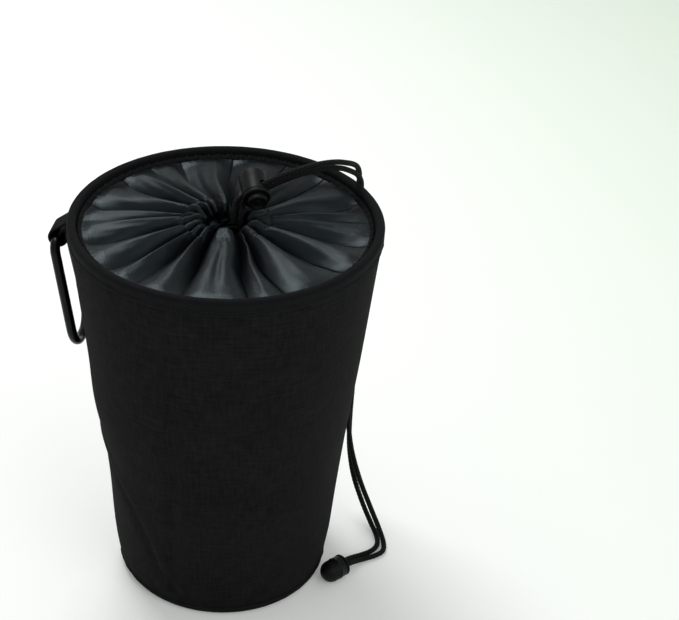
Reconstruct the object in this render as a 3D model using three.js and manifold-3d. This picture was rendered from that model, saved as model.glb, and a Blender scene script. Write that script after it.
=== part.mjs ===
// A drawstring peg bag: a tapered cloth bucket with a hooped rim, a gathered cloth closure that a
// double cord and a cord lock draw shut, and a webbing loop with a snap hook to hang it by.
// Millimetres, +Z up. The origin is the middle of the underside of the base. The hanging strap is
// on the -X side, and the gathered closure is drawn shut.

import * as THREE from 'three';
import { mergeVertices } from 'three/addons/utils/BufferGeometryUtils.js';
import Module from 'manifold-3d';

const wasm = await Module();
wasm.setup();

// Driving dimensions of the whole bag
const bagHeight = 229;
const mouthDiameter = 170;
const baseDiameter = 120;
const clothThickness = 2.4;
const fitGap = 0.3;
const roundSegments = 54;

// Base: an upturned panel sewn to the wall, with a stiffening board lying in it
const baseWallHeight = 6;
const baseCorner = 4;
const basePanelThickness = 1.6;
const boardThickness = 1.5;

// Rim: a folded binding over the wall's top edge, with a wire hoop in its fold
const bindingDepth = 9;
const bindingThickness = 1.1;
const bindingRound = 1.6;
const hoopDiameter = 2.4;
const bandWidth = 4;
const bandThickness = 1.4;

// Gathered closure: cloth pleats that hang from the band round the mouth
const pleatCount = 18;
const pleatThickness = 1.2;
const pleatRise = 5;
const pleatSweep = THREE.MathUtils.degToRad(112);
const pleatSideGap = 0.2;
const gatherHoleDiameter = 23;
const pleatRows = 6;
const pleatColumns = 6;

// Hanging strap of doubled webbing
const webbingThickness = 1.3;
const webbingWidth = 15;
const strapTabHeight = 9;
const strapReach = 10.8;
const strapEyeDiameter = 8.4;
const strapDrop = THREE.MathUtils.degToRad(62);

// Snap hook
const hookLength = 72;
const hookWidth = 36;
const hookNarrowWidth = 31.6;
const hookBar = 5.5;
const hookTopRound = 5.5;
const hookWideRound = 13;
const hookLean = THREE.MathUtils.degToRad(8);
const gateDiameter = 4.6;
const gateLength = 32;
const gateHingeDrop = 5;
const tongueThickness = 1.6;
const tongueWidth = 4.2;
const tongueReach = 5;
const rivetDiameter = 2;
const latchPinDiameter = 1.6;
const latchPinInset = 2.5;
const pinClearance = 0.2;
const gateBoreDiameter = 3;
const gateBoreDepth = 13;
const gateSpringWire = 0.45;
const gateSpringTurns = 6;

// Drawcord and cord lock
const cordDiameter = 3;
const strandSpacing = 3.8;
const cordClearance = 0.75;
const lockPleat = 2;
const lockSeatRadius = 17.6;
const lockSeatRise = 11.2;
const cordCrossingRise = 9;
const cordCrossingInset = 5;
const cordLean = THREE.MathUtils.degToRad(37);
const cordHalfTurn = THREE.MathUtils.degToRad(50);
const cordArcSweep = THREE.MathUtils.degToRad(84);
const lockFacing = THREE.MathUtils.degToRad(-71);
const lockDip = THREE.MathUtils.degToRad(18);
const lockDiameter = 15;
const lockWall = 1.8;
const lockFloor = 1.6;
const lockFront = 5.6;
const lockBack = 11.6;
const plungerProud = 3.6;
const plungerTravel = 3;
const plungerWeb = 2;
const plungerDish = 0.8;
const lockSpringWire = 0.45;
const lockSpringTurns = 3;

// Cord end: a bell over the knot, closed by a collar
const bellDiameter = 13;
const bellLength = 16;
const bellWall = 1.7;
const collarThickness = 1.2;
const knotDiameter = 7;
const bellEntry = new THREE.Vector3(73.6, -10.2, bellDiameter / 2);
const bellHeading = THREE.MathUtils.degToRad(-130);

// The cord's ends in the gather's hole and its free stretches, one list for each strand
const strandARise = [[6.2, 5.4, 222.5], [6.6, 6.6, 228.0], [7.0, 9.2, 231.5]];
const strandBRise = [[2.4, 5.6, 222.5], [2.6, 7.2, 229.0], [3.4, 9.6, 233.2]];
const strandATail = [
  [60.6, 48.3, 238.4], [63.7, 53.8, 233.8], [65.9, 57.7, 227.2], [66.0, 58.6, 217.0],
  [65.9, 58.1, 199.0], [66.0, 57.3, 177.0], [66.1, 56.6, 150.0], [66.1, 56.2, 120.0],
  [65.8, 56.2, 92.0], [66.2, 55.0, 68.0], [69.5, 50.8, 47.0], [76.5, 42.5, 30.0],
  [84.8, 33.0, 17.0], [91.5, 25.0, 7.5], [95.2, 18.3, 2.4], [95.4, 11.6, 1.8],
  [91.6, 6.7, 1.8], [86.0, 2.6, 2.0], [80.9, -2.6, 3.6],
];
const strandBTail = [
  [61.6, 51.0, 241.4], [63.4, 57.5, 236.4], [64.3, 61.8, 229.6], [64.2, 62.5, 218.5],
  [64.4, 62.0, 199.0], [65.1, 61.3, 177.0], [65.9, 60.8, 150.0], [66.8, 60.3, 120.0],
  [67.4, 60.1, 92.0], [66.9, 59.8, 66.0], [67.6, 57.4, 44.0], [71.6, 51.0, 27.0],
  [78.4, 42.0, 14.5], [85.2, 32.6, 6.4], [90.2, 24.6, 2.2], [91.4, 16.8, 1.8],
  [88.8, 10.6, 1.8], [83.6, 5.8, 2.0], [78.3, 0.4, 3.6],
];

// Places that follow from the sizes above
const rimRadius = mouthDiameter / 2;
const baseRadius = baseDiameter / 2;
const shellTopRadius = rimRadius - bindingThickness - fitGap;
const rimInnerRadius = shellTopRadius - clothThickness - fitGap - bindingThickness;
const shellTop = bagHeight - bindingThickness - fitGap - hoopDiameter - fitGap;
const shellBottom = baseWallHeight + fitGap;
const bindingFoot = bagHeight - bindingDepth;
const taperTop = bindingFoot - bindingRound;
const bandOuterRadius = rimInnerRadius - fitGap;
const bandInnerRadius = bandOuterRadius - bandWidth;
const bandTop = bagHeight - bindingRound - 2 * bindingThickness;
const pleatFoot = bandTop - bandThickness;
const pleatOuterRadius = bandInnerRadius - fitGap;
const pleatHalfAngle = Math.PI / pleatCount;
const gatherHoleRadius = gatherHoleDiameter / 2;
const cordRadius = cordDiameter / 2;
const upward = new THREE.Vector3(0, 0, 1);

// Materials
const cloth = { color: 0x1b1c1f, roughness: 0.92, metalness: 0 };
const taffeta = { color: 0x24272f, roughness: 0.62, metalness: 0 };
const tape = { color: 0x1e1f22, roughness: 0.85, metalness: 0 };
const webbing = { color: 0x141416, roughness: 0.88, metalness: 0 };
const anodised = { color: 0x121214, roughness: 0.32, metalness: 0.9 };
const steel = { color: 0xb4b6ba, roughness: 0.3, metalness: 1 };
const plastic = { color: 0x101012, roughness: 0.4, metalness: 0 };
const cordYarn = { color: 0x17171a, roughness: 0.85, metalness: 0 };
const greyBoard = { color: 0x6d675e, roughness: 0.9, metalness: 0 };

// Mesh helpers

// Shares a geometry's corners, drops its empty triangles and turns its faces outward.
function closedGeometry(source) {
  const weldDistance = 1e-4;
  const bare = new THREE.BufferGeometry();
  bare.setAttribute('position', source.getAttribute('position').clone());
  if (source.index) bare.setIndex(source.index.clone());
  const welded = mergeVertices(bare, weldDistance);
  const position = welded.getAttribute('position');
  const corner = (i) => new THREE.Vector3().fromBufferAttribute(position, i);
  const triangles = [];
  let volume = 0;
  for (let i = 0; i < welded.index.count; i += 3) {
    const [a, b, c] = [0, 1, 2].map((k) => welded.index.getX(i + k));
    if (a === b || b === c || c === a) continue;
    triangles.push([a, b, c]);
    volume += corner(a).dot(corner(b).cross(corner(c)));
  }
  const outward = volume < 0 ? triangles.map(([a, b, c]) => [a, c, b]) : triangles;
  welded.setIndex(outward.flat());
  return welded;
}

function solid(geometry) {
  const closed = closedGeometry(geometry);
  return new wasm.Manifold(new wasm.Mesh({
    numProp: 3,
    vertProperties: new Float32Array(closed.getAttribute('position').array),
    triVerts: new Uint32Array(closed.index.array),
  }));
}

function geometryOf(manifold) {
  const mesh = manifold.getMesh();
  const geometry = new THREE.BufferGeometry();
  geometry.setAttribute('position', new THREE.BufferAttribute(new Float32Array(mesh.vertProperties), 3));
  geometry.setIndex(new THREE.BufferAttribute(new Uint32Array(mesh.triVerts), 1));
  return geometry;
}

function part(name, geometry, look) {
  const closed = closedGeometry(geometry);
  closed.computeVertexNormals();
  const mesh = new THREE.Mesh(closed, new THREE.MeshStandardMaterial(look));
  mesh.name = name;
  return mesh;
}

// A profile of [radius, height] points turned about Z.
function turned(profile, segments = roundSegments) {
  const points = profile.map(([radius, height]) => new THREE.Vector2(radius, height));
  return new THREE.LatheGeometry(points, segments).rotateX(Math.PI / 2);
}

function turnedRing(profile, segments = roundSegments) {
  return turned([...profile, profile[0]], segments);
}

// Points of an arc in a profile, from one angle to another in degrees.
function arcPoints(centreX, centreY, radius, from, to, steps) {
  return Array.from({ length: steps + 1 }, (_, i) => {
    const angle = THREE.MathUtils.degToRad(from + ((to - from) * i) / steps);
    return [centreX + radius * Math.cos(angle), centreY + radius * Math.sin(angle)];
  });
}

function roundShape(radius, sides) {
  const shape = new THREE.Shape();
  for (let i = 0; i < sides; i += 1) {
    const angle = (2 * Math.PI * i) / sides;
    const x = radius * Math.cos(angle);
    const y = radius * Math.sin(angle);
    if (i === 0) shape.moveTo(x, y);
    else shape.lineTo(x, y);
  }
  return shape;
}

// A path that takes one straight step from each point to the next.
class SteppedPath extends THREE.Curve {
  constructor(points) {
    super();
    this.points = points;
  }

  getPoint(t, target = new THREE.Vector3()) {
    const steps = this.points.length - 1;
    const place = Math.min(Math.max(t, 0), 1) * steps;
    const index = Math.min(Math.floor(place), steps - 1);
    return target.lerpVectors(this.points[index], this.points[index + 1], place - index);
  }

  getPointAt(t, target) {
    return this.getPoint(t, target);
  }

  getTangentAt(t, target) {
    return this.getTangent(t, target);
  }
}

function tube(points, radius, sides) {
  return new THREE.ExtrudeGeometry(roundShape(radius, sides), {
    steps: points.length - 1,
    bevelEnabled: false,
    extrudePath: new SteppedPath(points),
  });
}

function helix(radius, start, end, turns, stepsPerTurn = 8) {
  const count = turns * stepsPerTurn;
  return Array.from({ length: count + 1 }, (_, i) => {
    const angle = (2 * Math.PI * i) / stepsPerTurn;
    const height = THREE.MathUtils.lerp(start, end, i / count);
    return new THREE.Vector3(radius * Math.cos(angle), radius * Math.sin(angle), height);
  });
}

// A box between two corners.
function block(low, high) {
  const size = high.map((value, i) => value - low[i]);
  const middle = high.map((value, i) => (value + low[i]) / 2);
  return new THREE.BoxGeometry(...size).translate(...middle);
}

function rodAlongX(radius, length, sides = 16) {
  return new THREE.CylinderGeometry(radius, radius, length, sides).rotateZ(Math.PI / 2);
}

function rodAlongZ(radius, low, high, sides = 20) {
  const rod = new THREE.CylinderGeometry(radius, radius, high - low, sides).rotateX(Math.PI / 2);
  return rod.translate(0, 0, (low + high) / 2);
}

// A slot with round ends, long along Y and wide along Z, that runs along X through the origin.
function slotAlongX(halfLength, halfWidth, depth) {
  const straight = halfLength - halfWidth;
  const shape = new THREE.Shape();
  shape.absarc(straight, 0, halfWidth, -Math.PI / 2, Math.PI / 2, false);
  shape.absarc(-straight, 0, halfWidth, Math.PI / 2, (3 * Math.PI) / 2, false);
  const slot = new THREE.ExtrudeGeometry(shape, { depth, bevelEnabled: false, curveSegments: 8 });
  return slot.translate(0, 0, -depth / 2).rotateX(Math.PI / 2).rotateZ(Math.PI / 2);
}

// Base and wall

function wallRadius(height) {
  const rise = THREE.MathUtils.clamp((height - shellBottom) / (taperTop - shellBottom), 0, 1);
  return THREE.MathUtils.lerp(baseRadius, shellTopRadius, rise);
}

function basePanel() {
  const cornerRadius = baseRadius - baseCorner;
  const innerCorner = baseCorner - basePanelThickness;
  const outside = arcPoints(cornerRadius, baseCorner, baseCorner, -90, 0, 4);
  const inside = arcPoints(cornerRadius, baseCorner, innerCorner, 0, -90, 4);
  const brim = [[baseRadius, baseWallHeight], [baseRadius - basePanelThickness, baseWallHeight]];
  return turned([[0, 0], ...outside, ...brim, ...inside, [0, basePanelThickness]]);
}

function baseBoard() {
  const low = basePanelThickness + fitGap;
  const radius = baseRadius - baseCorner;
  return rodAlongZ(radius, low, low + boardThickness, roundSegments);
}

function outerShell() {
  const heights = [shellBottom, taperTop, shellTop];
  const outside = heights.map((height) => [wallRadius(height), height]);
  const inside = outside.map(([radius, height]) => [radius - clothThickness, height]).reverse();
  return turnedRing([...outside, ...inside]);
}

// Rim

function rimBinding() {
  const outerCentre = rimRadius - bindingRound;
  const innerCentre = rimInnerRadius + bindingRound;
  const crown = bagHeight - bindingRound;
  const foldTop = bagHeight - bindingThickness;
  return turnedRing([
    [rimRadius, bindingFoot],
    ...arcPoints(outerCentre, crown, bindingRound, 0, 90, 3),
    ...arcPoints(innerCentre, crown, bindingRound, 90, 180, 3),
    [rimInnerRadius, bindingFoot],
    [rimInnerRadius + bindingThickness, bindingFoot],
    [rimInnerRadius + bindingThickness, foldTop],
    [rimRadius - bindingThickness, foldTop],
    [rimRadius - bindingThickness, bindingFoot],
  ]);
}

function rimHoop() {
  const centreRadius = shellTopRadius - clothThickness / 2;
  const centreHeight = shellTop + fitGap + hoopDiameter / 2;
  const section = arcPoints(centreRadius, centreHeight, hoopDiameter / 2, 0, 360, 6).slice(0, -1);
  return turnedRing(section);
}

function skirtBand() {
  return turnedRing([
    [bandOuterRadius, pleatFoot],
    [bandOuterRadius, bandTop],
    [bandInnerRadius, bandTop],
    [bandInnerRadius, pleatFoot],
  ]);
}

// Gathered closure

// A pleat arches across its width and rises towards the hole. It lies about the +X direction.
function pleat() {
  const positions = [];
  const indices = [];
  const columns = pleatColumns + 1;
  const rows = pleatRows + 1;
  for (const lift of [pleatThickness, 0]) {
    for (let row = 0; row < rows; row += 1) {
      const inward = row / pleatRows;
      const radius = THREE.MathUtils.lerp(pleatOuterRadius, gatherHoleRadius, inward);
      const halfAngle = pleatHalfAngle - pleatSideGap / radius;
      const rise = pleatRise * Math.sin(pleatSweep * inward);
      for (let column = 0; column < columns; column += 1) {
        const across = (2 * column) / pleatColumns - 1;
        const arch = (1 + Math.cos(Math.PI * across)) / 2;
        const angle = halfAngle * across;
        positions.push(radius * Math.cos(angle), radius * Math.sin(angle), pleatFoot + lift + rise * arch);
      }
    }
  }
  const at = (layer, row, column) => (layer * rows + row) * columns + column;
  const quad = (a, b, c, d) => indices.push(a, b, c, a, c, d);
  for (let row = 0; row < pleatRows; row += 1) {
    for (let column = 0; column < pleatColumns; column += 1) {
      quad(at(0, row, column), at(0, row, column + 1), at(0, row + 1, column + 1), at(0, row + 1, column));
      quad(at(1, row, column), at(1, row + 1, column), at(1, row + 1, column + 1), at(1, row, column + 1));
    }
    const last = pleatColumns;
    quad(at(0, row, 0), at(0, row + 1, 0), at(1, row + 1, 0), at(1, row, 0));
    quad(at(0, row, last), at(1, row, last), at(1, row + 1, last), at(0, row + 1, last));
  }
  for (let column = 0; column < pleatColumns; column += 1) {
    const last = pleatRows;
    quad(at(0, 0, column), at(1, 0, column), at(1, 0, column + 1), at(0, 0, column + 1));
    quad(at(0, last, column), at(0, last, column + 1), at(1, last, column + 1), at(1, last, column));
  }
  const geometry = new THREE.BufferGeometry();
  geometry.setAttribute('position', new THREE.Float32BufferAttribute(positions, 3));
  geometry.setIndex(indices);
  return geometry;
}

function gatheredClosure() {
  const group = new THREE.Group();
  for (let i = 0; i < pleatCount; i += 1) {
    const mesh = part(`skirt_pleat_${String(i + 1).padStart(2, '0')}`, pleat(), taffeta);
    mesh.rotation.z = 2 * pleatHalfAngle * i;
    group.add(mesh);
  }
  return group;
}

// Hanging strap

const strapTabFace = shellTopRadius + fitGap + webbingThickness;
const strapTabTop = bindingFoot - fitGap;
const strapHinge = new THREE.Vector3(
  -(strapTabFace + fitGap + webbingThickness),
  0,
  strapTabTop - webbingThickness,
);

function strapTab() {
  const half = webbingWidth / 2;
  return block(
    [-strapTabFace, -half, strapTabTop - strapTabHeight],
    [-(shellTopRadius + fitGap), half, strapTabTop],
  );
}

// Two layers of webbing that part round an eye. The root is at the origin and the eye lies along -X.
function strapLoop() {
  const eyeRadius = strapEyeDiameter / 2;
  const loopRadius = eyeRadius + webbingThickness;
  const eyeCentre = strapReach - (eyeRadius - hookBar / 2 - fitGap);
  const flare = Math.asin((loopRadius - webbingThickness) / eyeCentre);
  const shape = new THREE.Shape();
  shape.absarc(eyeCentre, 0, loopRadius, -Math.PI / 2 - flare, Math.PI / 2 + flare, false);
  shape.absarc(0, 0, webbingThickness, Math.PI / 2 + flare, (3 * Math.PI) / 2 - flare, false);
  const eye = new THREE.Path();
  eye.absarc(eyeCentre, 0, eyeRadius, 0, 2 * Math.PI, false);
  shape.holes.push(eye);
  const across = { depth: webbingWidth, bevelEnabled: false, curveSegments: 14 };
  const loop = new THREE.ExtrudeGeometry(shape, across);
  return loop.translate(0, 0, -webbingWidth / 2).rotateX(Math.PI / 2).rotateZ(Math.PI);
}

// Snap hook, in a frame with its top bar along Y through the origin and its length along -Z

const hookHalfNarrow = (hookNarrowWidth - hookBar) / 2;
const hookWideSide = hookWidth - hookBar - hookHalfNarrow;
const hookRun = hookLength - hookBar;
const gateTopCentre = new THREE.Vector2(hookHalfNarrow - hookTopRound, hookTopRound);
const gateFootCentre = new THREE.Vector2(hookWideSide - hookWideRound, hookRun - hookWideRound);
const gateSpan = gateFootCentre.clone().sub(gateTopCentre);
const gateFlare = Math.asin((hookWideRound - hookTopRound) / gateSpan.length());
const gateTilt = gateFlare + Math.atan2(gateSpan.x, gateSpan.y);
const gateAlong = new THREE.Vector2(Math.sin(gateTilt), Math.cos(gateTilt));
const gateOutward = new THREE.Vector2(Math.cos(gateTilt), -Math.sin(gateTilt));
const gateLineTop = gateTopCentre.clone().addScaledVector(gateOutward, hookTopRound);
const gateHinge = gateLineTop.clone().addScaledVector(gateAlong, gateHingeDrop);
const gateShoulder = gateDiameter / 2 + 2 * fitGap;
const gateSlot = tongueThickness / 2 + fitGap;
const latchHeight = -(gateLength - latchPinInset);

// The bar's middle line in the hook's plane, across and down, from the gate's hinge to its nose.
function hookLine() {
  const start = gateHinge.clone().addScaledVector(gateAlong, -gateShoulder);
  const nose = gateHinge.clone().addScaledVector(gateAlong, gateLength + fitGap);
  const degrees = THREE.MathUtils.radToDeg(gateTilt);
  const spine = -hookHalfNarrow;
  return [
    [start.x, start.y],
    ...arcPoints(gateTopCentre.x, gateTopCentre.y, hookTopRound, -degrees, -90, 4),
    ...arcPoints(spine + hookTopRound, hookTopRound, hookTopRound, -90, -180, 4),
    ...arcPoints(spine + hookWideRound, hookRun - hookWideRound, hookWideRound, 180, 90, 5),
    ...arcPoints(gateFootCentre.x, gateFootCentre.y, hookWideRound, 90, -degrees, 6),
    [nose.x, nose.y],
  ].map(([across, down]) => new THREE.Vector3(0, across, -down));
}

// Places a shape made about the gate's hinge, with the gate along -Z, into the hook's frame.
function atGate(geometry) {
  return geometry.rotateX(gateTilt).translate(0, gateHinge.x, -gateHinge.y);
}

function hookBody() {
  const half = tongueThickness / 2;
  const side = tongueWidth / 2;
  const root = hookBar / 2;
  const noseTip = -gateLength + tongueReach;
  const catchHalf = latchPinDiameter / 2 + fitGap;
  const hingeTongue = solid(atGate(block([-half, -side, 0], [half, side, gateShoulder + root])));
  const hingeEye = solid(atGate(rodAlongX(side, tongueThickness)));
  const noseTongue = solid(atGate(block([-half, -side, -gateLength - root], [half, side, noseTip])));
  const rivetHole = solid(atGate(rodAlongX(rivetDiameter / 2 + pinClearance, hookBar)));
  const latchCatch = solid(atGate(block(
    [-hookBar, -hookBar, latchHeight - catchHalf],
    [hookBar, catchHalf, latchHeight + catchHalf],
  )));
  const bar = solid(tube(hookLine(), hookBar / 2, 10));
  const joined = bar.add(hingeTongue).add(hingeEye).add(noseTongue);
  return geometryOf(joined.subtract(rivetHole).subtract(latchCatch));
}

function hookGate() {
  const radius = gateDiameter / 2;
  const reach = 2 * gateDiameter;
  const slotFloor = -(tongueWidth / 2 + 3 * fitGap);
  const noseSlotFloor = -gateLength + tongueReach + 2 * fitGap;
  const bore = rodAlongZ(gateBoreDiameter / 2, slotFloor - gateBoreDepth, 0, 12);
  return atGate(geometryOf(
    solid(rodAlongZ(radius, -gateLength, 0, 14))
      .add(solid(rodAlongX(radius, gateDiameter, 14)))
      .subtract(solid(block([-gateSlot, -reach, slotFloor], [gateSlot, reach, reach])))
      .subtract(solid(block([-gateSlot, -reach, -gateLength - reach], [gateSlot, reach, noseSlotFloor])))
      .subtract(solid(rodAlongX(rivetDiameter / 2 + pinClearance, reach)))
      .subtract(solid(rodAlongX(latchPinDiameter / 2 + pinClearance, reach).translate(0, 0, latchHeight)))
      .subtract(solid(bore)),
  ));
}

function gateSpring() {
  const coilRadius = gateBoreDiameter / 2 - fitGap - gateSpringWire / 2;
  const top = -(tongueWidth / 2 + 3 * fitGap) - gateSpringWire / 2;
  const bottom = top - gateBoreDepth + gateSpringWire + fitGap;
  return atGate(tube(helix(coilRadius, bottom, top, gateSpringTurns), gateSpringWire / 2, 5));
}

function hangingGear() {
  const strap = new THREE.Group();
  strap.position.copy(strapHinge);
  strap.add(part('hanging_strap', strapLoop().rotateY(-strapDrop), webbing));
  const hook = new THREE.Group();
  hook.position.set(-strapReach * Math.cos(strapDrop), 0, -strapReach * Math.sin(strapDrop));
  hook.rotation.y = -hookLean;
  const rivet = rodAlongX(rivetDiameter / 2, gateDiameter);
  const latchPin = rodAlongX(latchPinDiameter / 2, gateDiameter).translate(0, 0, latchHeight);
  hook.add(
    part('carabiner_body', hookBody(), anodised),
    part('carabiner_gate', hookGate(), anodised),
    part('gate_rivet', atGate(rivet), steel),
    part('latch_pin', atGate(latchPin), steel),
    part('gate_spring', gateSpring(), steel),
  );
  strap.add(hook);
  return strap;
}

// Drawcord: two strands side by side that rise from the gather's hole through the lock, arch over
// the rim, hang down outside the wall and lie on the floor

const pleatAngle = 2 * pleatHalfAngle * lockPleat;
const gatherOut = new THREE.Vector3(Math.cos(pleatAngle), Math.sin(pleatAngle), 0);
const gatherAcross = new THREE.Vector3(-Math.sin(pleatAngle), Math.cos(pleatAngle), 0);
const lockSeat = gatherOut.clone().multiplyScalar(lockSeatRadius)
  .addScaledVector(upward, bagHeight + lockSeatRise);
const cordCrossing = gatherOut.clone().multiplyScalar(rimRadius - cordCrossingInset)
  .addScaledVector(upward, bagHeight + cordCrossingRise);
const cordChord = cordCrossing.clone().sub(lockSeat);
const chordAlong = cordChord.clone().normalize();
const chordBulge = upward.clone().multiplyScalar(Math.cos(cordLean))
  .addScaledVector(gatherAcross, -Math.sin(cordLean));
chordBulge.addScaledVector(chordAlong, -chordBulge.dot(chordAlong)).normalize();
const arcRadius = cordChord.length() / (2 * Math.sin(cordHalfTurn));
const arcCentre = lockSeat.clone().addScaledVector(cordChord, 0.5)
  .addScaledVector(chordBulge, -arcRadius * Math.cos(cordHalfTurn));
const arcAxis = chordBulge.clone().cross(chordAlong);
const lockAlong = chordAlong.clone().multiplyScalar(Math.cos(cordHalfTurn))
  .addScaledVector(chordBulge, Math.sin(cordHalfTurn));
const lockAxis = new THREE.Vector3(Math.cos(lockFacing), Math.sin(lockFacing), -Math.tan(lockDip));
lockAxis.addScaledVector(lockAlong, -lockAxis.dot(lockAlong)).normalize();
const lockAcross = lockAxis.clone().cross(lockAlong);

function arcPoint(side, angle) {
  const point = lockSeat.clone().addScaledVector(lockAcross, side).sub(arcCentre);
  return point.applyAxisAngle(arcAxis, angle).add(arcCentre);
}

const bellAlong = new THREE.Vector3(Math.cos(bellHeading), Math.sin(bellHeading), 0);
const bellAcross = bellAlong.clone().cross(upward);
const knotStart = collarThickness + fitGap + 3 * cordRadius;

function bellPoint(side, along) {
  return bellEntry.clone().addScaledVector(bellAlong, along).addScaledVector(bellAcross, side);
}

// One strand's stretches: inside the rim, which moves with the gather, and outside it.
function strandStretches(side, rise, tail) {
  const arcSteps = 8;
  const arcStart = -Math.asin(lockDiameter / 2 / arcRadius);
  const arc = Array.from({ length: arcSteps + 1 }, (_, i) => (
    arcPoint(side, THREE.MathUtils.lerp(arcStart, cordArcSweep, i / arcSteps))
  ));
  const risen = rise.map((point) => new THREE.Vector3(...point));
  const [crossing, ...free] = tail.map((point) => new THREE.Vector3(...point));
  const onward = free[0].clone().sub(crossing).normalize();
  const split = crossing.clone().lerp(free[0], 0.5);
  const start = split.clone().addScaledVector(onward, fitGap);
  const ending = [bellPoint(side, -2 * cordRadius), bellPoint(side, knotStart)];
  return { inner: [...risen, ...arc, crossing, split], outer: [start, ...free, ...ending] };
}

function drawcord() {
  const cordSides = 8;
  const group = new THREE.Group();
  const strands = [
    ['a', -strandSpacing / 2, strandARise, strandATail],
    ['b', strandSpacing / 2, strandBRise, strandBTail],
  ];
  for (const [letter, side, rise, tail] of strands) {
    const { inner, outer } = strandStretches(side, rise, tail);
    group.add(part(`drawcord_${letter}_inner`, tube(inner, cordRadius, cordSides), cordYarn));
    group.add(part(`drawcord_${letter}_outer`, tube(outer, cordRadius, cordSides), cordYarn));
  }
  return group;
}

// Cord lock, in a frame with its barrel along Z, its button towards +Z and the cord along X

const lockRadius = lockDiameter / 2;
const lockBoreRadius = lockRadius - lockWall;
const plungerRadius = lockBoreRadius - fitGap;
const cordHalfHeight = strandSpacing / 2 + cordRadius + cordClearance + fitGap;
const cordHalfWidth = cordRadius + cordClearance + fitGap;
const windowBack = -cordHalfWidth;
const windowFront = cordHalfWidth + plungerTravel;
const plungerBack = windowBack - plungerWeb;

function lockBarrel() {
  const edge = 1.2;
  const cup = solid(turned([
    [0, -lockBack],
    [lockRadius - edge, -lockBack],
    [lockRadius, -lockBack + edge],
    [lockRadius, lockFront - edge],
    [lockRadius - edge / 2, lockFront],
    [lockBoreRadius, lockFront],
    [lockBoreRadius, -lockBack + lockFloor],
    [0, -lockBack + lockFloor],
  ], 28));
  return geometryOf(cup.subtract(solid(slotAlongX(cordHalfHeight, cordHalfWidth, 2 * lockDiameter))));
}

function lockPlunger() {
  const front = lockFront + plungerProud;
  const body = solid(turned([
    [0, plungerBack],
    [plungerRadius, plungerBack],
    [plungerRadius, front - plungerDish],
    [plungerRadius - plungerDish, front],
    [plungerRadius - 2 * plungerDish, front],
    [plungerRadius - 3 * plungerDish, front - plungerDish],
    [0, front - plungerDish],
  ], 28));
  const window = block(
    [-lockDiameter, -cordHalfHeight, windowBack],
    [lockDiameter, cordHalfHeight, windowFront],
  );
  return geometryOf(body.subtract(solid(window)));
}

function lockSpring() {
  const coilRadius = plungerRadius - plungerWeb;
  const low = -lockBack + lockFloor + lockSpringWire / 2 + fitGap;
  const high = plungerBack - lockSpringWire / 2 - fitGap;
  return tube(helix(coilRadius, low, high, lockSpringTurns), lockSpringWire / 2, 5);
}

function cordLock() {
  const group = new THREE.Group();
  group.quaternion.setFromRotationMatrix(new THREE.Matrix4().makeBasis(lockAlong, lockAcross, lockAxis));
  group.position.copy(lockSeat);
  group.add(
    part('lock_barrel', lockBarrel(), plastic),
    part('lock_plunger', lockPlunger(), plastic),
    part('lock_spring', lockSpring(), steel),
  );
  return group;
}

// Cord end, in a frame with the cord coming in along +Z

function cordEndBell() {
  const radius = bellDiameter / 2;
  const mouth = collarThickness + fitGap;
  const cavity = radius - bellWall;
  const crown = bellLength - radius;
  return turned([
    ...arcPoints(0, crown, radius, 90, 0, 5),
    [radius, mouth],
    [cavity, mouth],
    ...arcPoints(0, crown, cavity, 0, 90, 3),
  ], 24);
}

function cordEndCollar() {
  const radius = bellDiameter / 2;
  const edge = collarThickness / 2;
  const disc = solid(turned([
    [0, 0],
    [radius - edge, 0],
    [radius, edge],
    [radius, collarThickness],
    [0, collarThickness],
  ], 24));
  const halfLength = strandSpacing / 2 + cordRadius + fitGap;
  const slot = slotAlongX(halfLength, cordRadius + fitGap, bellDiameter).rotateY(Math.PI / 2);
  return geometryOf(disc.subtract(solid(slot)));
}

function cordEndKnot() {
  const radius = knotDiameter / 2;
  const flatness = 0.7;
  const knot = new THREE.SphereGeometry(radius, 12, 8).scale(1, 1, flatness);
  return knot.translate(0, 0, knotStart + fitGap + radius * flatness);
}

function cordEnd() {
  const group = new THREE.Group();
  group.quaternion.setFromRotationMatrix(new THREE.Matrix4().makeBasis(upward, bellAcross, bellAlong));
  group.position.copy(bellEntry);
  group.add(
    part('cord_end_bell', cordEndBell(), plastic),
    part('cord_end_collar', cordEndCollar(), plastic),
    part('cord_end_knot', cordEndKnot(), cordYarn),
  );
  return group;
}

const pegBag = new THREE.Group();
pegBag.add(
  part('outer_shell', outerShell(), cloth),
  part('base_panel', basePanel(), cloth),
  part('base_board', baseBoard(), greyBoard),
  part('rim_binding', rimBinding(), tape),
  part('rim_hoop', rimHoop(), steel),
  part('skirt_band', skirtBand(), taffeta),
  part('strap_tab', strapTab(), webbing),
  gatheredClosure(),
  hangingGear(),
  drawcord(),
  cordLock(),
  cordEnd(),
);

export default pegBag;
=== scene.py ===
import math

import bmesh
import bpy
import numpy as np
from mathutils import Matrix, Vector


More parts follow.
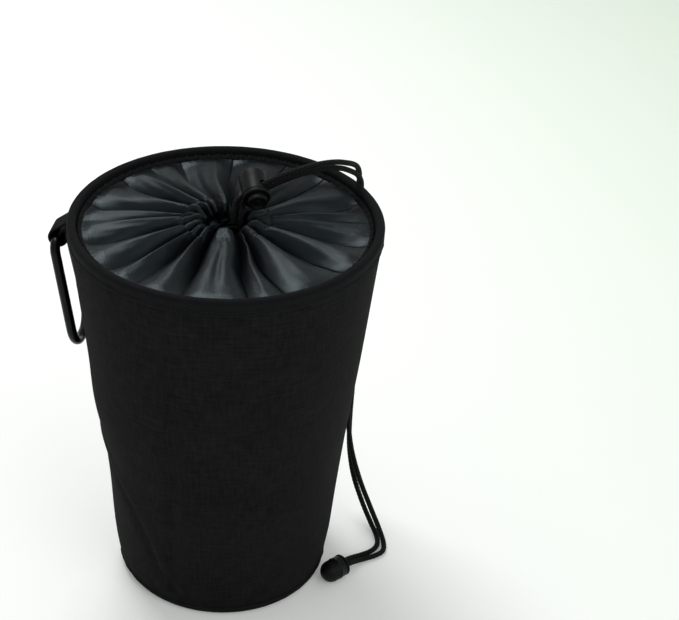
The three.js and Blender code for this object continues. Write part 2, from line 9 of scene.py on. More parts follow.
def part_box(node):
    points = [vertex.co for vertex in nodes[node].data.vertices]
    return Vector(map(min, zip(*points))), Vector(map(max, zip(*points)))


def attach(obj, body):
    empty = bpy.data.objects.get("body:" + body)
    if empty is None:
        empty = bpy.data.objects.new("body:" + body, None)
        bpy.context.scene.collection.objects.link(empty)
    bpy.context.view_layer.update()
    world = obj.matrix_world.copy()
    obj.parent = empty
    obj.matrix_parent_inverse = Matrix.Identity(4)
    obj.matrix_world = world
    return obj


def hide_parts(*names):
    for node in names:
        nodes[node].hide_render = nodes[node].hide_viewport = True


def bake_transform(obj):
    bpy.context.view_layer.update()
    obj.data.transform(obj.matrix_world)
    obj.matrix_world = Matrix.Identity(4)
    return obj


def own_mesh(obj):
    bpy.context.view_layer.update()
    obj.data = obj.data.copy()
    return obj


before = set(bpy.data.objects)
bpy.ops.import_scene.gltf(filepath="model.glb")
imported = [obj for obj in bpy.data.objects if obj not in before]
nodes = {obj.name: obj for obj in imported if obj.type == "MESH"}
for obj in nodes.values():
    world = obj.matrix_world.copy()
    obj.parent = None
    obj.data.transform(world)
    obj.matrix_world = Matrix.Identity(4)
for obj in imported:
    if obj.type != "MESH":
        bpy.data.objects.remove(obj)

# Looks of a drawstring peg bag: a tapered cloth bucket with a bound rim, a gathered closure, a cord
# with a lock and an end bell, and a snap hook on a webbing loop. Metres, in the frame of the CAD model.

scene = bpy.context.scene
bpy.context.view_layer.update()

# Sizes, the same as in the CAD model
MM = 0.001
BAG_HEIGHT = 229 * MM
RIM_RADIUS = 85 * MM
BASE_RADIUS = 60 * MM
CLOTH = 2.4 * MM
FIT = 0.3 * MM
BINDING = 1.1 * MM
BINDING_DEPTH = 9 * MM
BINDING_FOOT = BAG_HEIGHT - BINDING_DEPTH
BASE_WALL = 6 * MM
BASE_CORNER = 4 * MM
WALL_TOP_RADIUS = RIM_RADIUS - BINDING - FIT
WALL_LOW = BASE_WALL + FIT
WALL_TAPER_TOP = BINDING_FOOT - 1.6 * MM
WALL_TOP = 224.9 * MM
RIM_INNER_RADIUS = WALL_TOP_RADIUS - CLOTH - FIT - BINDING
PLEAT_COUNT = 18
PLEAT_PITCH = 2 * math.pi / PLEAT_COUNT
PLEAT_HINGE_RADIUS = 74.06 * MM
PLEAT_HINGE_HEIGHT = 223.8 * MM
GATHER_RADIUS = 11.5 * MM
CORD_DIAMETER = 3 * MM
STRAND_SPACING = 3.8 * MM
YARNS_ROUND = 5
BRAID_SLANT = 0.8
LOCK_PLEAT = 2
BELL_ENTRY = Vector((73.6, -10.2, 6.5)) * MM
BELL_HEADING = math.radians(-130)
UP = Vector((0, 0, 1))


# Mesh building

def add_object(name, data):
    obj = bpy.data.objects.new(name, data)
    scene.collection.objects.link(obj)
    return obj


class Shape:
    """Points, faces and texture corners of a mesh that is being made."""

    def __init__(self):
        self.points = []
        self.faces = []
        self.corners = []

    def grid(self, points, uv, wrap=False):
        """Adds a grid of points, row by row. With wrap, the last column joins the first."""
        points = np.asarray(points, float)
        rows, columns = points.shape[:2]
        first = len(self.points)
        self.points += points.reshape(-1, 3).tolist()
        for row in range(rows - 1):
            for column in range(columns if wrap else columns - 1):
                after = (column + 1) % columns
                low = first + row * columns
                high = low + columns
                self.faces.append((low + column, low + after, high + after, high + column))
                self.corners += [uv[row][column], uv[row][column + 1]]
                self.corners += [uv[row + 1][column + 1], uv[row + 1][column]]
        return first

    def closed_grid(self, points, uv):
        """Adds a grid whose last column joins the first, with a face over each end."""
        count = len(points[0])
        first = self.grid(points, uv, wrap=True)
        end = len(self.points)
        for ring in (range(first + count - 1, first - 1, -1), range(end - count, end)):
            self.faces.append(tuple(ring))
            self.corners += [(0.0, 0.0)] * count

    def piece(self, name, material, sharp=None):
        """Makes the object, joins points that meet and turns its faces outward."""
        mesh = bpy.data.meshes.new(name)
        mesh.from_pydata(self.points, [], self.faces)
        layer = mesh.uv_layers.new(name="cloth")
        layer.data.foreach_set("uv", np.asarray(self.corners, np.float32).ravel())
        work = bmesh.new()
        work.from_mesh(mesh)
        bmesh.ops.remove_doubles(work, verts=work.verts, dist=0.002 * MM)
        bmesh.ops.recalc_face_normals(work, faces=work.faces)
        work.to_mesh(mesh)
        work.free()
        mesh.shade_smooth()
        if sharp is not None:
            mesh.set_sharp_from_angle(angle=math.radians(sharp))
        mesh.materials.append(material)
        return add_object(name, mesh)


def smooth(low, high, value):
    """A soft step from 0 at low to 1 at high."""
    t = np.clip((value - low) / (high - low), 0, 1)
    return t * t * (3 - 2 * t)


def hump(value, centre, width):
    """A soft hill of height 1 about centre."""
    return np.exp(-(((value - centre) / width) ** 2))


def ripple(angle, count, sway, bends):
    """Waves round the bag, uneven because they sway to and fro."""
    return np.cos(count * angle + sway * np.sin(bends * angle))


def lengths_along(points):
    """Distance along a line of points, from its start."""
    steps = np.linalg.norm(np.diff(points, axis=0), axis=1)
    return np.concatenate([[0], np.cumsum(steps)])


def full_turn(count):
    """Angles of evenly spaced points round a circle."""
    return np.linspace(0, 2 * math.pi, count, endpoint=False)


def on_circle(angle, radius, height):
    return np.stack([radius * np.cos(angle), radius * np.sin(angle), height], axis=-1)


def grid_uv(across, along):
    """Texture corners of a grid, from the distances across it and along it."""
    return [[(x, y) for x in across] for y in along]


def way_out(angle):
    """The level direction at an angle round the bag."""
    return Vector((math.cos(angle), math.sin(angle), 0))


def square_to(line, way):
    """The part of a direction that is square to a line, with length 1."""
    return (way - line * way.dot(line)).normalized()


def pose_of(x_axis, y_axis, z_axis, origin):
    pose = Matrix((x_axis, y_axis, z_axis)).transposed().to_4x4()
    pose.translation = origin
    return pose


def placed(points, pose):
    return np.asarray(points, float) @ np.array(pose.to_3x3()).T + np.array(pose.translation)


def arc_points(centre, radius, start, end, steps):
    """Points of an arc in a plane, from one angle to another in degrees."""
    angles = np.radians(np.linspace(start, end, steps + 1))
    return [(centre[0] + radius * math.cos(a), centre[1] + radius * math.sin(a)) for a in angles]


def grid_piece(name, material, points, uv, wrap=True, sharp=None):
    shape = Shape()
    shape.grid(points, uv, wrap)
    return shape.piece(name, material, sharp)


def turned_piece(name, material, profile, segments, pose=Matrix.Identity(4), relief=None, sharp=None):
    """A profile of (radius, height) points turned about Z. relief may move the points outward."""
    profile = np.asarray(profile, float)
    radius = np.repeat(profile[:, :1], segments, axis=1)
    height = np.repeat(profile[:, 1:], segments, axis=1)
    turn = np.repeat(full_turn(segments)[None], len(profile), axis=0)
    if relief is not None:
        radius = radius + relief(turn, height, radius)
    points = placed(on_circle(turn, radius, height), pose)
    round_length = 2 * math.pi * profile[:, 0].max()
    uv = grid_uv(np.linspace(0, round_length, segments + 1), lengths_along(profile))
    return grid_piece(name, material, points, uv, sharp=sharp)


def headings(path):
    """Directions along a path, each of length 1."""
    ahead = np.gradient(np.asarray(path, float), axis=0)
    return ahead / np.linalg.norm(ahead, axis=1)[:, None]


def flat_frames(path, side):
    """Two sideways directions at each point of a path in one plane, the first along the plane's normal."""
    sides = np.tile(side, (len(path), 1))
    return sides, np.cross(headings(path), sides)


def fixed_frames(path, side, up):
    """The same two sideways directions at each point of a path."""
    return np.tile(side, (len(path), 1)), np.tile(up, (len(path), 1))


def frames_along(path):
    """Two sideways directions at each point of a path, turned as little as possible along it."""
    ahead = headings(path)
    side = np.cross(ahead[0], (0.0, 0.0, 1.0))
    if np.linalg.norm(side) < 0.1:
        side = np.cross(ahead[0], (0.0, 1.0, 0.0))
    sides = []
    for direction in ahead:
        side = side - direction * (side @ direction)
        side /= np.linalg.norm(side)
        sides.append(side)
    sides = np.array(sides)
    return sides, np.cross(ahead, sides)


def swept_grid(shape, path, section, frames=None, relief=None):
    """Adds a section of (side, up) points swept along a path. relief may swell the section."""
    path = np.asarray(path, float)
    sides, ups = frames if frames is not None else frames_along(path)
    section = np.asarray(section, float)
    along = lengths_along(path)
    rows = np.repeat(section[None], len(path), axis=0)
    if relief is not None:
        turn = np.arctan2(section[:, 1], section[:, 0])
        reach = np.linalg.norm(section, axis=1)
        rows = rows * (1 + relief(turn[None], along[:, None]) / reach)[:, :, None]
    points = path[:, None] + sides[:, None] * rows[:, :, :1] + ups[:, None] * rows[:, :, 1:]
    ring = lengths_along(np.vstack([section, section[:1]]))
    shape.closed_grid(points, grid_uv(ring, along))


def swept_piece(name, material, path, section, frames=None, relief=None, sharp=60):
    shape = Shape()
    swept_grid(shape, path, section, frames, relief)
    return shape.piece(name, material, sharp)


def round_section(radius, sides):
    angles = full_turn(sides)
    return np.stack([radius * np.cos(angles), radius * np.sin(angles)], axis=1)


def through(points, steps):
    """A smooth line through the points, with some steps from each one to the next."""
    p = np.asarray(points, float)
    p = np.vstack([2 * p[0] - p[1], p, 2 * p[-1] - p[-2]])
    line = []
    for a, b, c, d in zip(p[:-3], p[1:-2], p[2:-1], p[3:]):
        for t in np.linspace(0, 1, steps, endpoint=False):
            line.append(0.5 * (2 * b + (c - a) * t + (2 * a - 5 * b + 4 * c - d) * t**2
                               + (3 * b - a - 3 * c + d) * t**3))
    return np.array(line + [p[-2]])


def slot_outline(half_length, half_width, steps=12):
    """An oblong with round ends, long along the first direction."""
    straight = half_length - half_width
    ahead = arc_points((straight, 0), half_width, -90, 90, steps)
    return ahead + arc_points((-straight, 0), half_width, 90, 270, steps)


def box_outline(half_length, half_width):
    return [(half_length, -half_width), (half_length, half_width),
            (-half_length, half_width), (-half_length, -half_width)]


def cut(piece, outline, depth, pose):
    """Takes an outline in the pose's Y and Z, run along its X, out of a piece."""
    path = placed([(-depth / 2, 0, 0), (0, 0, 0), (depth / 2, 0, 0)], pose)
    frames = fixed_frames(path, pose.to_3x3().col[1], pose.to_3x3().col[2])
    tool = swept_piece("cutting_tool", piece.data.materials[0], path, outline, frames, sharp=None)
    step = piece.modifiers.new("cut", "BOOLEAN")
    step.object = tool
    step.solver = "EXACT"
    done = piece.evaluated_get(bpy.context.evaluated_depsgraph_get())
    mesh = bpy.data.meshes.new_from_object(done)
    piece.modifiers.clear()
    piece.data = mesh
    bpy.data.objects.remove(tool)


# Materials

class Look:
    """A material whose colour, roughness and relief come from nodes."""

    def __init__(self, name, **sockets):
        self.material = bpy.data.materials.new(name)
        self.material.use_nodes = True
        self.tree = self.material.node_tree
        self.shader = self.tree.nodes["Principled BSDF"]
        for key, value in sockets.items():
            self.shader.inputs[key.replace("_", " ")].default_value = value

    def node(self, kind, inputs=(), **settings):
        node = self.tree.nodes.new("ShaderNode" + kind)
        for key, value in settings.items():
            setattr(node, key, value)
        for key, value in dict(inputs).items():
            if isinstance(value, bpy.types.NodeSocket):
                self.tree.links.new(value, node.inputs[key])
            else:
                node.inputs[key].default_value = value
        return node

    def cloth_place(self):
        """The place on the cloth, and then its two parts, across and along."""
        uv = self.node("UVMap", uv_map="cloth").outputs[0]
        parts = self.node("SeparateXYZ", {0: uv}).outputs
        return uv, parts[0], parts[1]

    def math(self, operation, first, second=0.0):
        return self.node("Math", {0: first, 1: second}, operation=operation).outputs[0]

    def sum_of(self, *parts):
        """Adds up values, each times its weight."""
        total = 0.0
        for value, weight in parts:
            total = self.node("Math", {0: value, 1: weight, 2: total}, operation="MULTIPLY_ADD").outputs[0]
        return total

    def noise(self, vector, scale, detail=3.0):
        inputs = {"Vector": vector, "Scale": scale, "Detail": detail, "Roughness": 0.6}
        return self.node("TexNoise", inputs).outputs["Fac"]

    def patchy(self, vector, scale, detail=3.0):
        """Noise with more contrast."""
        inputs = {"Value": self.noise(vector, scale, detail), "From Min": 0.3, "From Max": 0.7}
        return self.node("MapRange", inputs).outputs[0]

    def streaks(self, vector, across, along, detail=3.0):
        """Patchy noise with a scale of its own in each direction."""
        drawn = self.node("Mapping", {"Vector": vector, "Scale": (across, along, 1.0)}).outputs[0]
        return self.patchy(drawn, 1.0, detail)

    def between(self, value, low, high):
        """Stretches a value from 0 to 1 to the range from low to high."""
        return self.node("MapRange", {"Value": value, "To Min": low, "To Max": high}).outputs[0]

    def colours(self, value, dark, light):
        mix = self.node("Mix", {"Factor": value}, data_type="RGBA")
        mix.inputs["A"].default_value = (*dark, 1)
        mix.inputs["B"].default_value = (*light, 1)
        return mix.outputs["Result"]

    def link(self, value, socket):
        self.tree.links.new(value, self.shader.inputs[socket])

    def finish(self, colour, roughness, height, distance):
        """Joins the colour, the roughness and the relief to the shader."""
        self.link(colour, "Base Color")
        self.link(roughness, "Roughness")
        bump = self.node("Bump", {"Height": height, "Distance": distance, "Strength": 1.0})
        self.link(bump.outputs["Normal"], "Normal")
        return self.material


def shades(colour, spread):
    """A darker and a lighter shade of a colour."""
    return [c * (1 - spread) for c in colour], [c * (1 + spread) for c in colour]


def woven(name, colour, warp, weft, relief, roughness, spread=0.3, lean=0.0, crinkle=0.0, **sockets):
    """Cloth with threads of the given pitches. lean slants the rows, as in twill.

    crinkle is the height of soft creases, as a multiple of the threads' relief.
    """
    look = Look(name, **sockets)
    uv, across, along = look.cloth_place()
    slanted = look.sum_of((along, 1.0), (across, lean))
    warp_wave = look.math("SINE", look.math("MULTIPLY", across, 2 * math.pi / warp))
    weft_wave = look.math("SINE", look.math("MULTIPLY", slanted, 2 * math.pi / weft))
    crossing = look.math("MULTIPLY", warp_wave, weft_wave)
    threads = look.math("ADD", look.math("MULTIPLY", crossing, 0.5), 0.5)
    pitch = min(warp, weft)
    fibres = look.noise(uv, 0.6 / pitch)
    broad, long = 0.5 / pitch, 0.075 / pitch
    slubs = look.math("ADD", look.streaks(uv, broad, long), look.streaks(uv, long, broad))
    wear = look.patchy(uv, 28.0, 4.0)
    height = look.sum_of((threads, 1.0), (fibres, 0.5))
    if crinkle:
        creases = look.streaks(uv, 130.0, 80.0, 1.0)
        height = look.sum_of((height, 1.0), (creases, crinkle))
    tone = look.sum_of((threads, 0.15), (slubs, 0.3), (wear, 0.25))
    colour = look.colours(tone, *shades(colour, spread))
    rough = look.between(wear, roughness - 0.08, roughness + 0.08)
    return look.finish(colour, rough, height, relief)


def braided(name, colour):
    """Round cord with strands that cross at a slant."""
    look = Look(name, **{"Sheen Weight": 0.02, "Sheen Roughness": 0.5, "Specular IOR Level": 0.15})
    uv, around, along = look.cloth_place()
    pitch = YARNS_ROUND / (CORD_DIAMETER / 2)
    around = look.math("MULTIPLY", around, pitch)
    along = look.math("MULTIPLY", along, pitch * BRAID_SLANT)
    left = look.math("SINE", look.math("ADD", around, along))
    right = look.math("SINE", look.math("SUBTRACT", around, along))
    strands = look.math("MAXIMUM", left, right)
    fibres = look.noise(uv, 3000.0)
    height = look.sum_of((strands, 1.0), (fibres, 0.4))
    tone = look.sum_of((strands, 0.35), (fibres, 0.5))
    colour = look.colours(tone, *shades(colour, 0.6))
    return look.finish(colour, look.between(fibres, 0.6, 0.8), height, 0.1 * MM)


def moulded(name, colour, roughness):
    """Plastic with a fine grain and faint handling marks."""
    look = Look(name, **{"Specular IOR Level": 0.14})
    place = look.node("TexCoord").outputs["Object"]
    grain = look.noise(place, 2600.0, 2.0)
    marks = look.noise(place, 160.0, 4.0)
    colour = look.colours(marks, *shades(colour, 0.25))
    rough = look.between(marks, roughness - 0.1, roughness + 0.14)
    return look.finish(colour, rough, grain, 0.03 * MM)


def metal(name, colour, roughness, relief):
    """Metal with fine drawing lines and small rubbed patches."""
    look = Look(name, Metallic=1.0)
    place = look.node("TexCoord").outputs["Object"]
    drawn = look.node("Mapping", {"Vector": place, "Scale": (2500.0, 2500.0, 60.0)}).outputs[0]
    lines = look.noise(drawn, 1.0)
    patches = look.noise(place, 220.0, 4.0)
    colour = look.colours(patches, *shades(colour, 0.25))
    rough = look.between(look.math("MULTIPLY", lines, patches), roughness - 0.08, roughness + 0.25)
    return look.finish(colour, rough, lines, relief)


def pressed_board(name, colour):
    """Grey board with short fibres."""
    look = Look(name)
    place = look.node("TexCoord").outputs["Object"]
    laid = look.node("Mapping", {"Vector": place, "Scale": (900.0, 300.0, 900.0)}).outputs[0]
    fibres = look.noise(laid, 1.0)
    colour = look.colours(fibres, *shades(colour, 0.3))
    return look.finish(colour, look.between(fibres, 0.85, 0.95), fibres, 0.05 * MM)


CLOTH_LOOK = {"Sheen Weight": 0.01, "Sheen Roughness": 0.5, "Specular IOR Level": 0.05}
TAFFETA_LOOK = {"Specular IOR Level": 0.26, "Specular Tint": (0.74, 0.93, 1.0, 1.0)}
oxford = woven(
    "oxford_cloth", (0.0085, 0.0089, 0.0087), warp=0.8 * MM, weft=0.8 * MM, relief=0.12 * MM,
    roughness=0.9, spread=0.95, **CLOTH_LOOK,
)
taffeta = woven(
    "taffeta_cloth", (0.0040, 0.0054, 0.0062), warp=0.35 * MM, weft=0.5 * MM, relief=0.03 * MM,
    roughness=0.32, spread=0.25, crinkle=7.0, **TAFFETA_LOOK,
)
tape = woven(
    "binding_tape", (0.0075, 0.0077, 0.0085), warp=0.9 * MM, weft=0.7 * MM, relief=0.1 * MM,
    roughness=0.8, spread=0.35, **CLOTH_LOOK,
)
webbing = woven(
    "strap_webbing", (0.007, 0.007, 0.008), warp=1.5 * MM, weft=1.1 * MM, relief=0.2 * MM,
    roughness=0.82, spread=0.4, lean=0.9, **CLOTH_LOOK,
)
thread = woven(
    "sewing_thread", (0.016, 0.017, 0.018), warp=0.3 * MM, weft=0.4 * MM, relief=0.05 * MM,
    roughness=0.7, spread=0.35, lean=1.5, **CLOTH_LOOK,
)
cord_yarn = braided("cord_yarn", (0.0035, 0.0035, 0.004))
plastic = moulded("black_plastic", (0.004, 0.004, 0.0045), 0.45)
anodised = metal("anodised_black", (0.016, 0.016, 0.018), 0.34, 0.01 * MM)
bright = metal("bright_metal", (0.55, 0.56, 0.58), 0.26, 0.015 * MM)
spring_steel = metal("spring_steel", (0.45, 0.45, 0.47), 0.3, 0.01 * MM)
board = pressed_board("grey_board", (0.15, 0.135, 0.11))


# Camera, at the photograph's place

FOCAL_PIXELS = 1748
IMAGE_WIDTH = 679
SENSOR = 36
CAMERA_AZIMUTH = math.radians(10)
CAMERA_ELEVATION = math.radians(35.38)
CAMERA_DISTANCE = 1.0
CAMERA_PAN = math.radians(4.41)
CAMERA_TILT = math.radians(2.93)
CAMERA_ROLL = math.radians(2.88)
CAMERA_AIM = Vector((0, 0, 0.112))


def make_camera():
    forward = Vector((0, math.cos(CAMERA_ELEVATION), -math.sin(CAMERA_ELEVATION)))
    place = CAMERA_AIM - forward * CAMERA_DISTANCE
    level = CAMERA_ELEVATION - CAMERA_TILT
    sideways, onward = math.sin(CAMERA_PAN), math.cos(CAMERA_PAN)
    look = Vector((sideways * math.cos(level), onward * math.cos(level), -math.sin(level)))
    right = look.cross(UP).normalized()
    top = right.cross(look)
    right, top = (
        right * math.cos(CAMERA_ROLL) + top * math.sin(CAMERA_ROLL),
        top * math.cos(CAMERA_ROLL) - right * math.sin(CAMERA_ROLL),
    )
    pose = pose_of(right, top, -look, place)
    data = bpy.data.cameras.new("camera")
    data.sensor_fit = "HORIZONTAL"
    data.sensor_width = SENSOR
    data.lens = SENSOR * FOCAL_PIXELS / IMAGE_WIDTH
    camera = add_object("camera", data)
    camera.matrix_world = Matrix.Rotation(CAMERA_AZIMUTH, 4, "Z") @ pose
    scene.camera = camera


make_camera()


# Drawcord: the route's points are those of the CAD model

STRAND_A_RISE = [(6.2, 5.4, 222.5), (6.6, 6.6, 228.0), (7.0, 9.2, 231.5)]
STRAND_B_RISE = [(2.4, 5.6, 222.5), (2.6, 7.2, 229.0), (3.4, 9.6, 233.2)]
STRAND_A_TAIL = [
    (60.6, 48.3, 238.4), (63.7, 53.8, 233.8), (65.9, 57.7, 227.2), (66.0, 58.6, 217.0),
    (65.9, 58.1, 199.0), (66.0, 57.3, 177.0), (66.1, 56.6, 150.0), (66.1, 56.2, 120.0),
    (65.8, 56.2, 92.0), (66.2, 55.0, 68.0), (69.5, 50.8, 47.0), (76.5, 42.5, 30.0),
    (84.8, 33.0, 17.0), (91.5, 25.0, 7.5), (95.2, 18.3, 2.4), (95.4, 11.6, 1.8),
    (91.6, 6.7, 1.8), (86.0, 2.6, 2.0), (80.9, -2.6, 3.6),
]
STRAND_B_TAIL = [
    (61.6, 51.0, 241.4), (63.4, 57.5, 236.4), (64.3, 61.8, 229.6), (64.2, 62.5, 218.5),
    (64.4, 62.0, 199.0), (65.1, 61.3, 177.0), (65.9, 60.8, 150.0), (66.8, 60.3, 120.0),
    (67.4, 60.1, 92.0), (66.9, 59.8, 66.0), (67.6, 57.4, 44.0), (71.6, 51.0, 27.0),
    (78.4, 42.0, 14.5), (85.2, 32.6, 6.4), (90.2, 24.6, 2.2), (91.4, 16.8, 1.8),
    (88.8, 10.6, 1.8), (83.6, 5.8, 2.0), (78.3, 0.4, 3.6),
]
CORD_LEAN = math.radians(37)
CORD_HALF_TURN = math.radians(50)
CORD_ARC_SWEEP = math.radians(84)
LOCK_FACING = math.radians(-71)
LOCK_DIP = math.radians(18)
LOCK_RADIUS = 7.5 * MM
LOCK_SEAT_OUT = 17.6 * MM
LOCK_SEAT_RISE = 11.2 * MM
CROSSING_INSET = 5 * MM
CROSSING_RISE = 9 * MM
BELL_RADIUS = 6.5 * MM
BELL_LENGTH = 16 * MM
BELL_WALL = 1.7 * MM
COLLAR_DEPTH = 1.5 * MM

CORD_STEPS = 30
CORD_SIDES = 30
BRAID_DEPTH = 0.14 * MM

pleat_angle = PLEAT_PITCH * LOCK_PLEAT
gather_out = way_out(pleat_angle)
gather_across = UP.cross(gather_out)
lock_seat = gather_out * LOCK_SEAT_OUT + UP * (BAG_HEIGHT + LOCK_SEAT_RISE)
cord_crossing = gather_out * (RIM_RADIUS - CROSSING_INSET) + UP * (BAG_HEIGHT + CROSSING_RISE)
cord_chord = cord_crossing - lock_seat
chord_along = cord_chord.normalized()
chord_bulge = square_to(chord_along, UP * math.cos(CORD_LEAN) - gather_across * math.sin(CORD_LEAN))
arc_radius = cord_chord.length / (2 * math.sin(CORD_HALF_TURN))
arc_centre = lock_seat + cord_chord / 2 - chord_bulge * arc_radius * math.cos(CORD_HALF_TURN)
arc_axis = chord_bulge.cross(chord_along)
lock_along = chord_along * math.cos(CORD_HALF_TURN) + chord_bulge * math.sin(CORD_HALF_TURN)
lock_axis = square_to(lock_along, way_out(LOCK_FACING) - UP * math.tan(LOCK_DIP))
lock_across = lock_axis.cross(lock_along)
lock_pose = pose_of(lock_along, lock_across, lock_axis, lock_seat)
bell_along = way_out(BELL_HEADING)
bell_across = bell_along.cross(UP)


def cord_arc(side, count=8):
    """The strand's points through the lock and on along its arch."""
    start = -math.asin(LOCK_RADIUS / arc_radius)
    reach = lock_seat + lock_across * side - arc_centre
    turns = np.linspace(start, CORD_ARC_SWEEP, count + 1)
    return [Matrix.Rotation(turn, 3, arc_axis) @ reach + arc_centre for turn in turns]


def strand_route(side, rise, tail):
    knot_start = COLLAR_DEPTH + 1.5 * CORD_DIAMETER
    ends = [BELL_ENTRY + bell_along * d + bell_across * side for d in (-CORD_DIAMETER, knot_start)]
    return [*(Vector(p) * MM for p in rise), *cord_arc(side), *(Vector(p) * MM for p in tail), *ends]


def braid_relief(turn, along):
    """How far the crossing yarns stand out, at an angle round the cord and a length along it."""
    winding = along * YARNS_ROUND * BRAID_SLANT / (CORD_DIAMETER / 2)
    yarns = np.maximum(np.sin(YARNS_ROUND * turn + winding), np.sin(YARNS_ROUND * turn - winding))
    return BRAID_DEPTH * (yarns - 0.5)


def make_strand(letter, side, rise, tail):
    """One strand, from inside the gathered closure through the lock, over the rim and down to the bell."""
    route = strand_route(side, rise, tail)
    path = through(route, CORD_STEPS)
    section = round_section(CORD_DIAMETER / 2, CORD_SIDES)
    strand = swept_piece(f"drawcord_{letter}", cord_yarn, path, section, relief=braid_relief)
    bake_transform(strand)
    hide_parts(f"drawcord_{letter}_inner", f"drawcord_{letter}_outer")
    return strand, np.array(route)


# Cord end: a bell over the knot, closed by a collar

def make_cord_end():
    pose = pose_of(UP, bell_across, bell_along, BELL_ENTRY)
    crown = BELL_LENGTH - BELL_RADIUS
    cavity = BELL_RADIUS - BELL_WALL
    mouth = COLLAR_DEPTH + 0.02 * MM
    bell = turned_piece("cord_bell", plastic, [
        *arc_points((0, crown), BELL_RADIUS, 90, 8, 10),
        *arc_points((BELL_RADIUS - 0.3 * MM, crown - 3.4 * MM), 0.5 * MM, 60, -60, 4),
        (BELL_RADIUS - 0.15 * MM, COLLAR_DEPTH + 0.6 * MM),
        (BELL_RADIUS - 0.5 * MM, mouth),
        (cavity, mouth),
        *arc_points((0, crown), cavity, 0, 90, 6),
    ], 48, pose, sharp=50)
    collar = make_collar(pose)
    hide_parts("cord_end_bell")
    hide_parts("cord_end_collar")
    for piece in (bell, collar):
        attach(piece, "bag")
    return [bell, collar]


def make_collar(pose):
    """A round collar with an oblong hole for the two strands."""
    thickness = 1.2 * MM
    edge = 0.4 * MM
    lip = 0.15 * MM
    count = 64
    angles = full_turn(count)
    rim = np.stack([np.cos(angles), np.sin(angles)], axis=1)
    hole = 1.8 * MM * rim
    hole[:, 1] += STRAND_SPACING / 2 * np.sign(np.round(np.sin(angles), 9))
    rows = [
        (hole, lip), (hole * 1.06, 0.0), (rim * (BELL_RADIUS - edge), 0.0), (rim * BELL_RADIUS, edge),
        (rim * BELL_RADIUS, thickness - edge / 2), (rim * (BELL_RADIUS - edge / 2), thickness),
        (hole, thickness), (hole, lip),
    ]
    points = np.array([np.column_stack([ring, np.full(count, height)]) for ring, height in rows])
    uv = grid_uv(np.arange(count + 1) * 0.6 * MM, np.arange(len(rows)) * MM)
    return grid_piece("cord_bell_collar", plastic, placed(points, pose), uv, sharp=40)


cord_end = make_cord_end()
strands = [
    make_strand("a", -STRAND_SPACING / 2, STRAND_A_RISE, STRAND_A_TAIL),
    make_strand("b", STRAND_SPACING / 2, STRAND_B_RISE, STRAND_B_TAIL),
]


# Wall, a soft cone with the dents and creases of a bag that has been handled

WALL_COLUMNS = 288
WALL_THICKNESS = 1.2 * MM
WALL_MEAN_RADIUS = 72 * MM
SEAM_ANGLE = math.radians(118)

# Creases, as (angle in degrees, height in mm)
DIAGONAL_CREASE = [
    (-215, 99), (-176, 95), (-160, 91), (-146, 85), (-137, 78), (-126, 65), (-119, 47), (-114, 27),
]
UPRIGHT_CREASE = [(-100, 165), (-101, 147), (-104, 87), (-108, 16)]

# Slow waves in the cloth: how many go round the bag, their size in mm, shift, and half waves up the wall
BROAD_WAVES = [
    (2, 0.9, 0.8, 1.0), (3, 0.7, 2.1, 1.0), (4, 0.5, 4.0, 2.0), (5, 0.45, 0.6, 2.0), (7, 0.3, 3.3, 3.0),
]


def crease_distance(angle, height, crease):
    """Distance on the wall from a crease, less than 0 below it."""
    mean_radius = 66 * MM
    best = np.full(angle.shape, 1.0)
    points = [(mean_radius * math.radians(a), h * MM) for a, h in crease]
    turn = np.where(angle > math.radians(60), angle - 2 * math.pi, angle)
    across = mean_radius * turn
    for (x0, y0), (x1, y1) in zip(points[:-1], points[1:]):
        dx, dy = x1 - x0, y1 - y0
        t = np.clip(((across - x0) * dx + (height - y0) * dy) / (dx * dx + dy * dy), 0, 1)
        distance = np.hypot(across - x0 - t * dx, height - y0 - t * dy)
        side = np.where((height - y0) * dx > (across - x0) * dy, 1, -1)
        best = np.where(distance < np.abs(best), distance * side, best)
    return best


def side_slack(angle, height):
    """Slack cloth on the left, which stands out above the long crease and again near the base."""
    turn = np.where(angle > math.radians(15), angle - 2 * math.pi, angle)
    left = hump(turn, math.radians(-165), math.radians(42))
    return left * (1.5 * MM * hump(height, 120 * MM, 20 * MM) + 2.0 * MM * hump(height, 26 * MM, 30 * MM))


def wall_rise(height):
    """How far up the wall's taper a height is, from 0 to 1."""
    return np.clip((height - WALL_LOW) / (WALL_TAPER_TOP - WALL_LOW), 0, 1)


def cone_radius(height):
    return BASE_RADIUS + (WALL_TOP_RADIUS - BASE_RADIUS) * wall_rise(height)


def hem_puckers(angle):
    """Uneven small puckers along a sewn edge, from about -1.6 to 1.6."""
    return ripple(angle, 31, 2, 3) + 0.6 * np.cos(47 * angle + 1.0)


def long_crease(angle, height):
    """The slanting crease: a fold over a hollow, both deepest on the left of the bag."""
    above = crease_distance(angle, height, DIAGONAL_CREASE)
    depth = 1.4 + 1.2 * smooth(math.radians(225), math.radians(195), angle)
    depth = depth * smooth(math.radians(152), math.radians(196), angle)
    fold = 0.36 * hump(above, 4 * MM, 4 * MM)
    hollow = -hump(above, -1.5 * MM, 6 * MM)
    return depth * (hollow + (fold - hollow) * smooth(-1.3 * MM, 1.3 * MM, above)) * MM


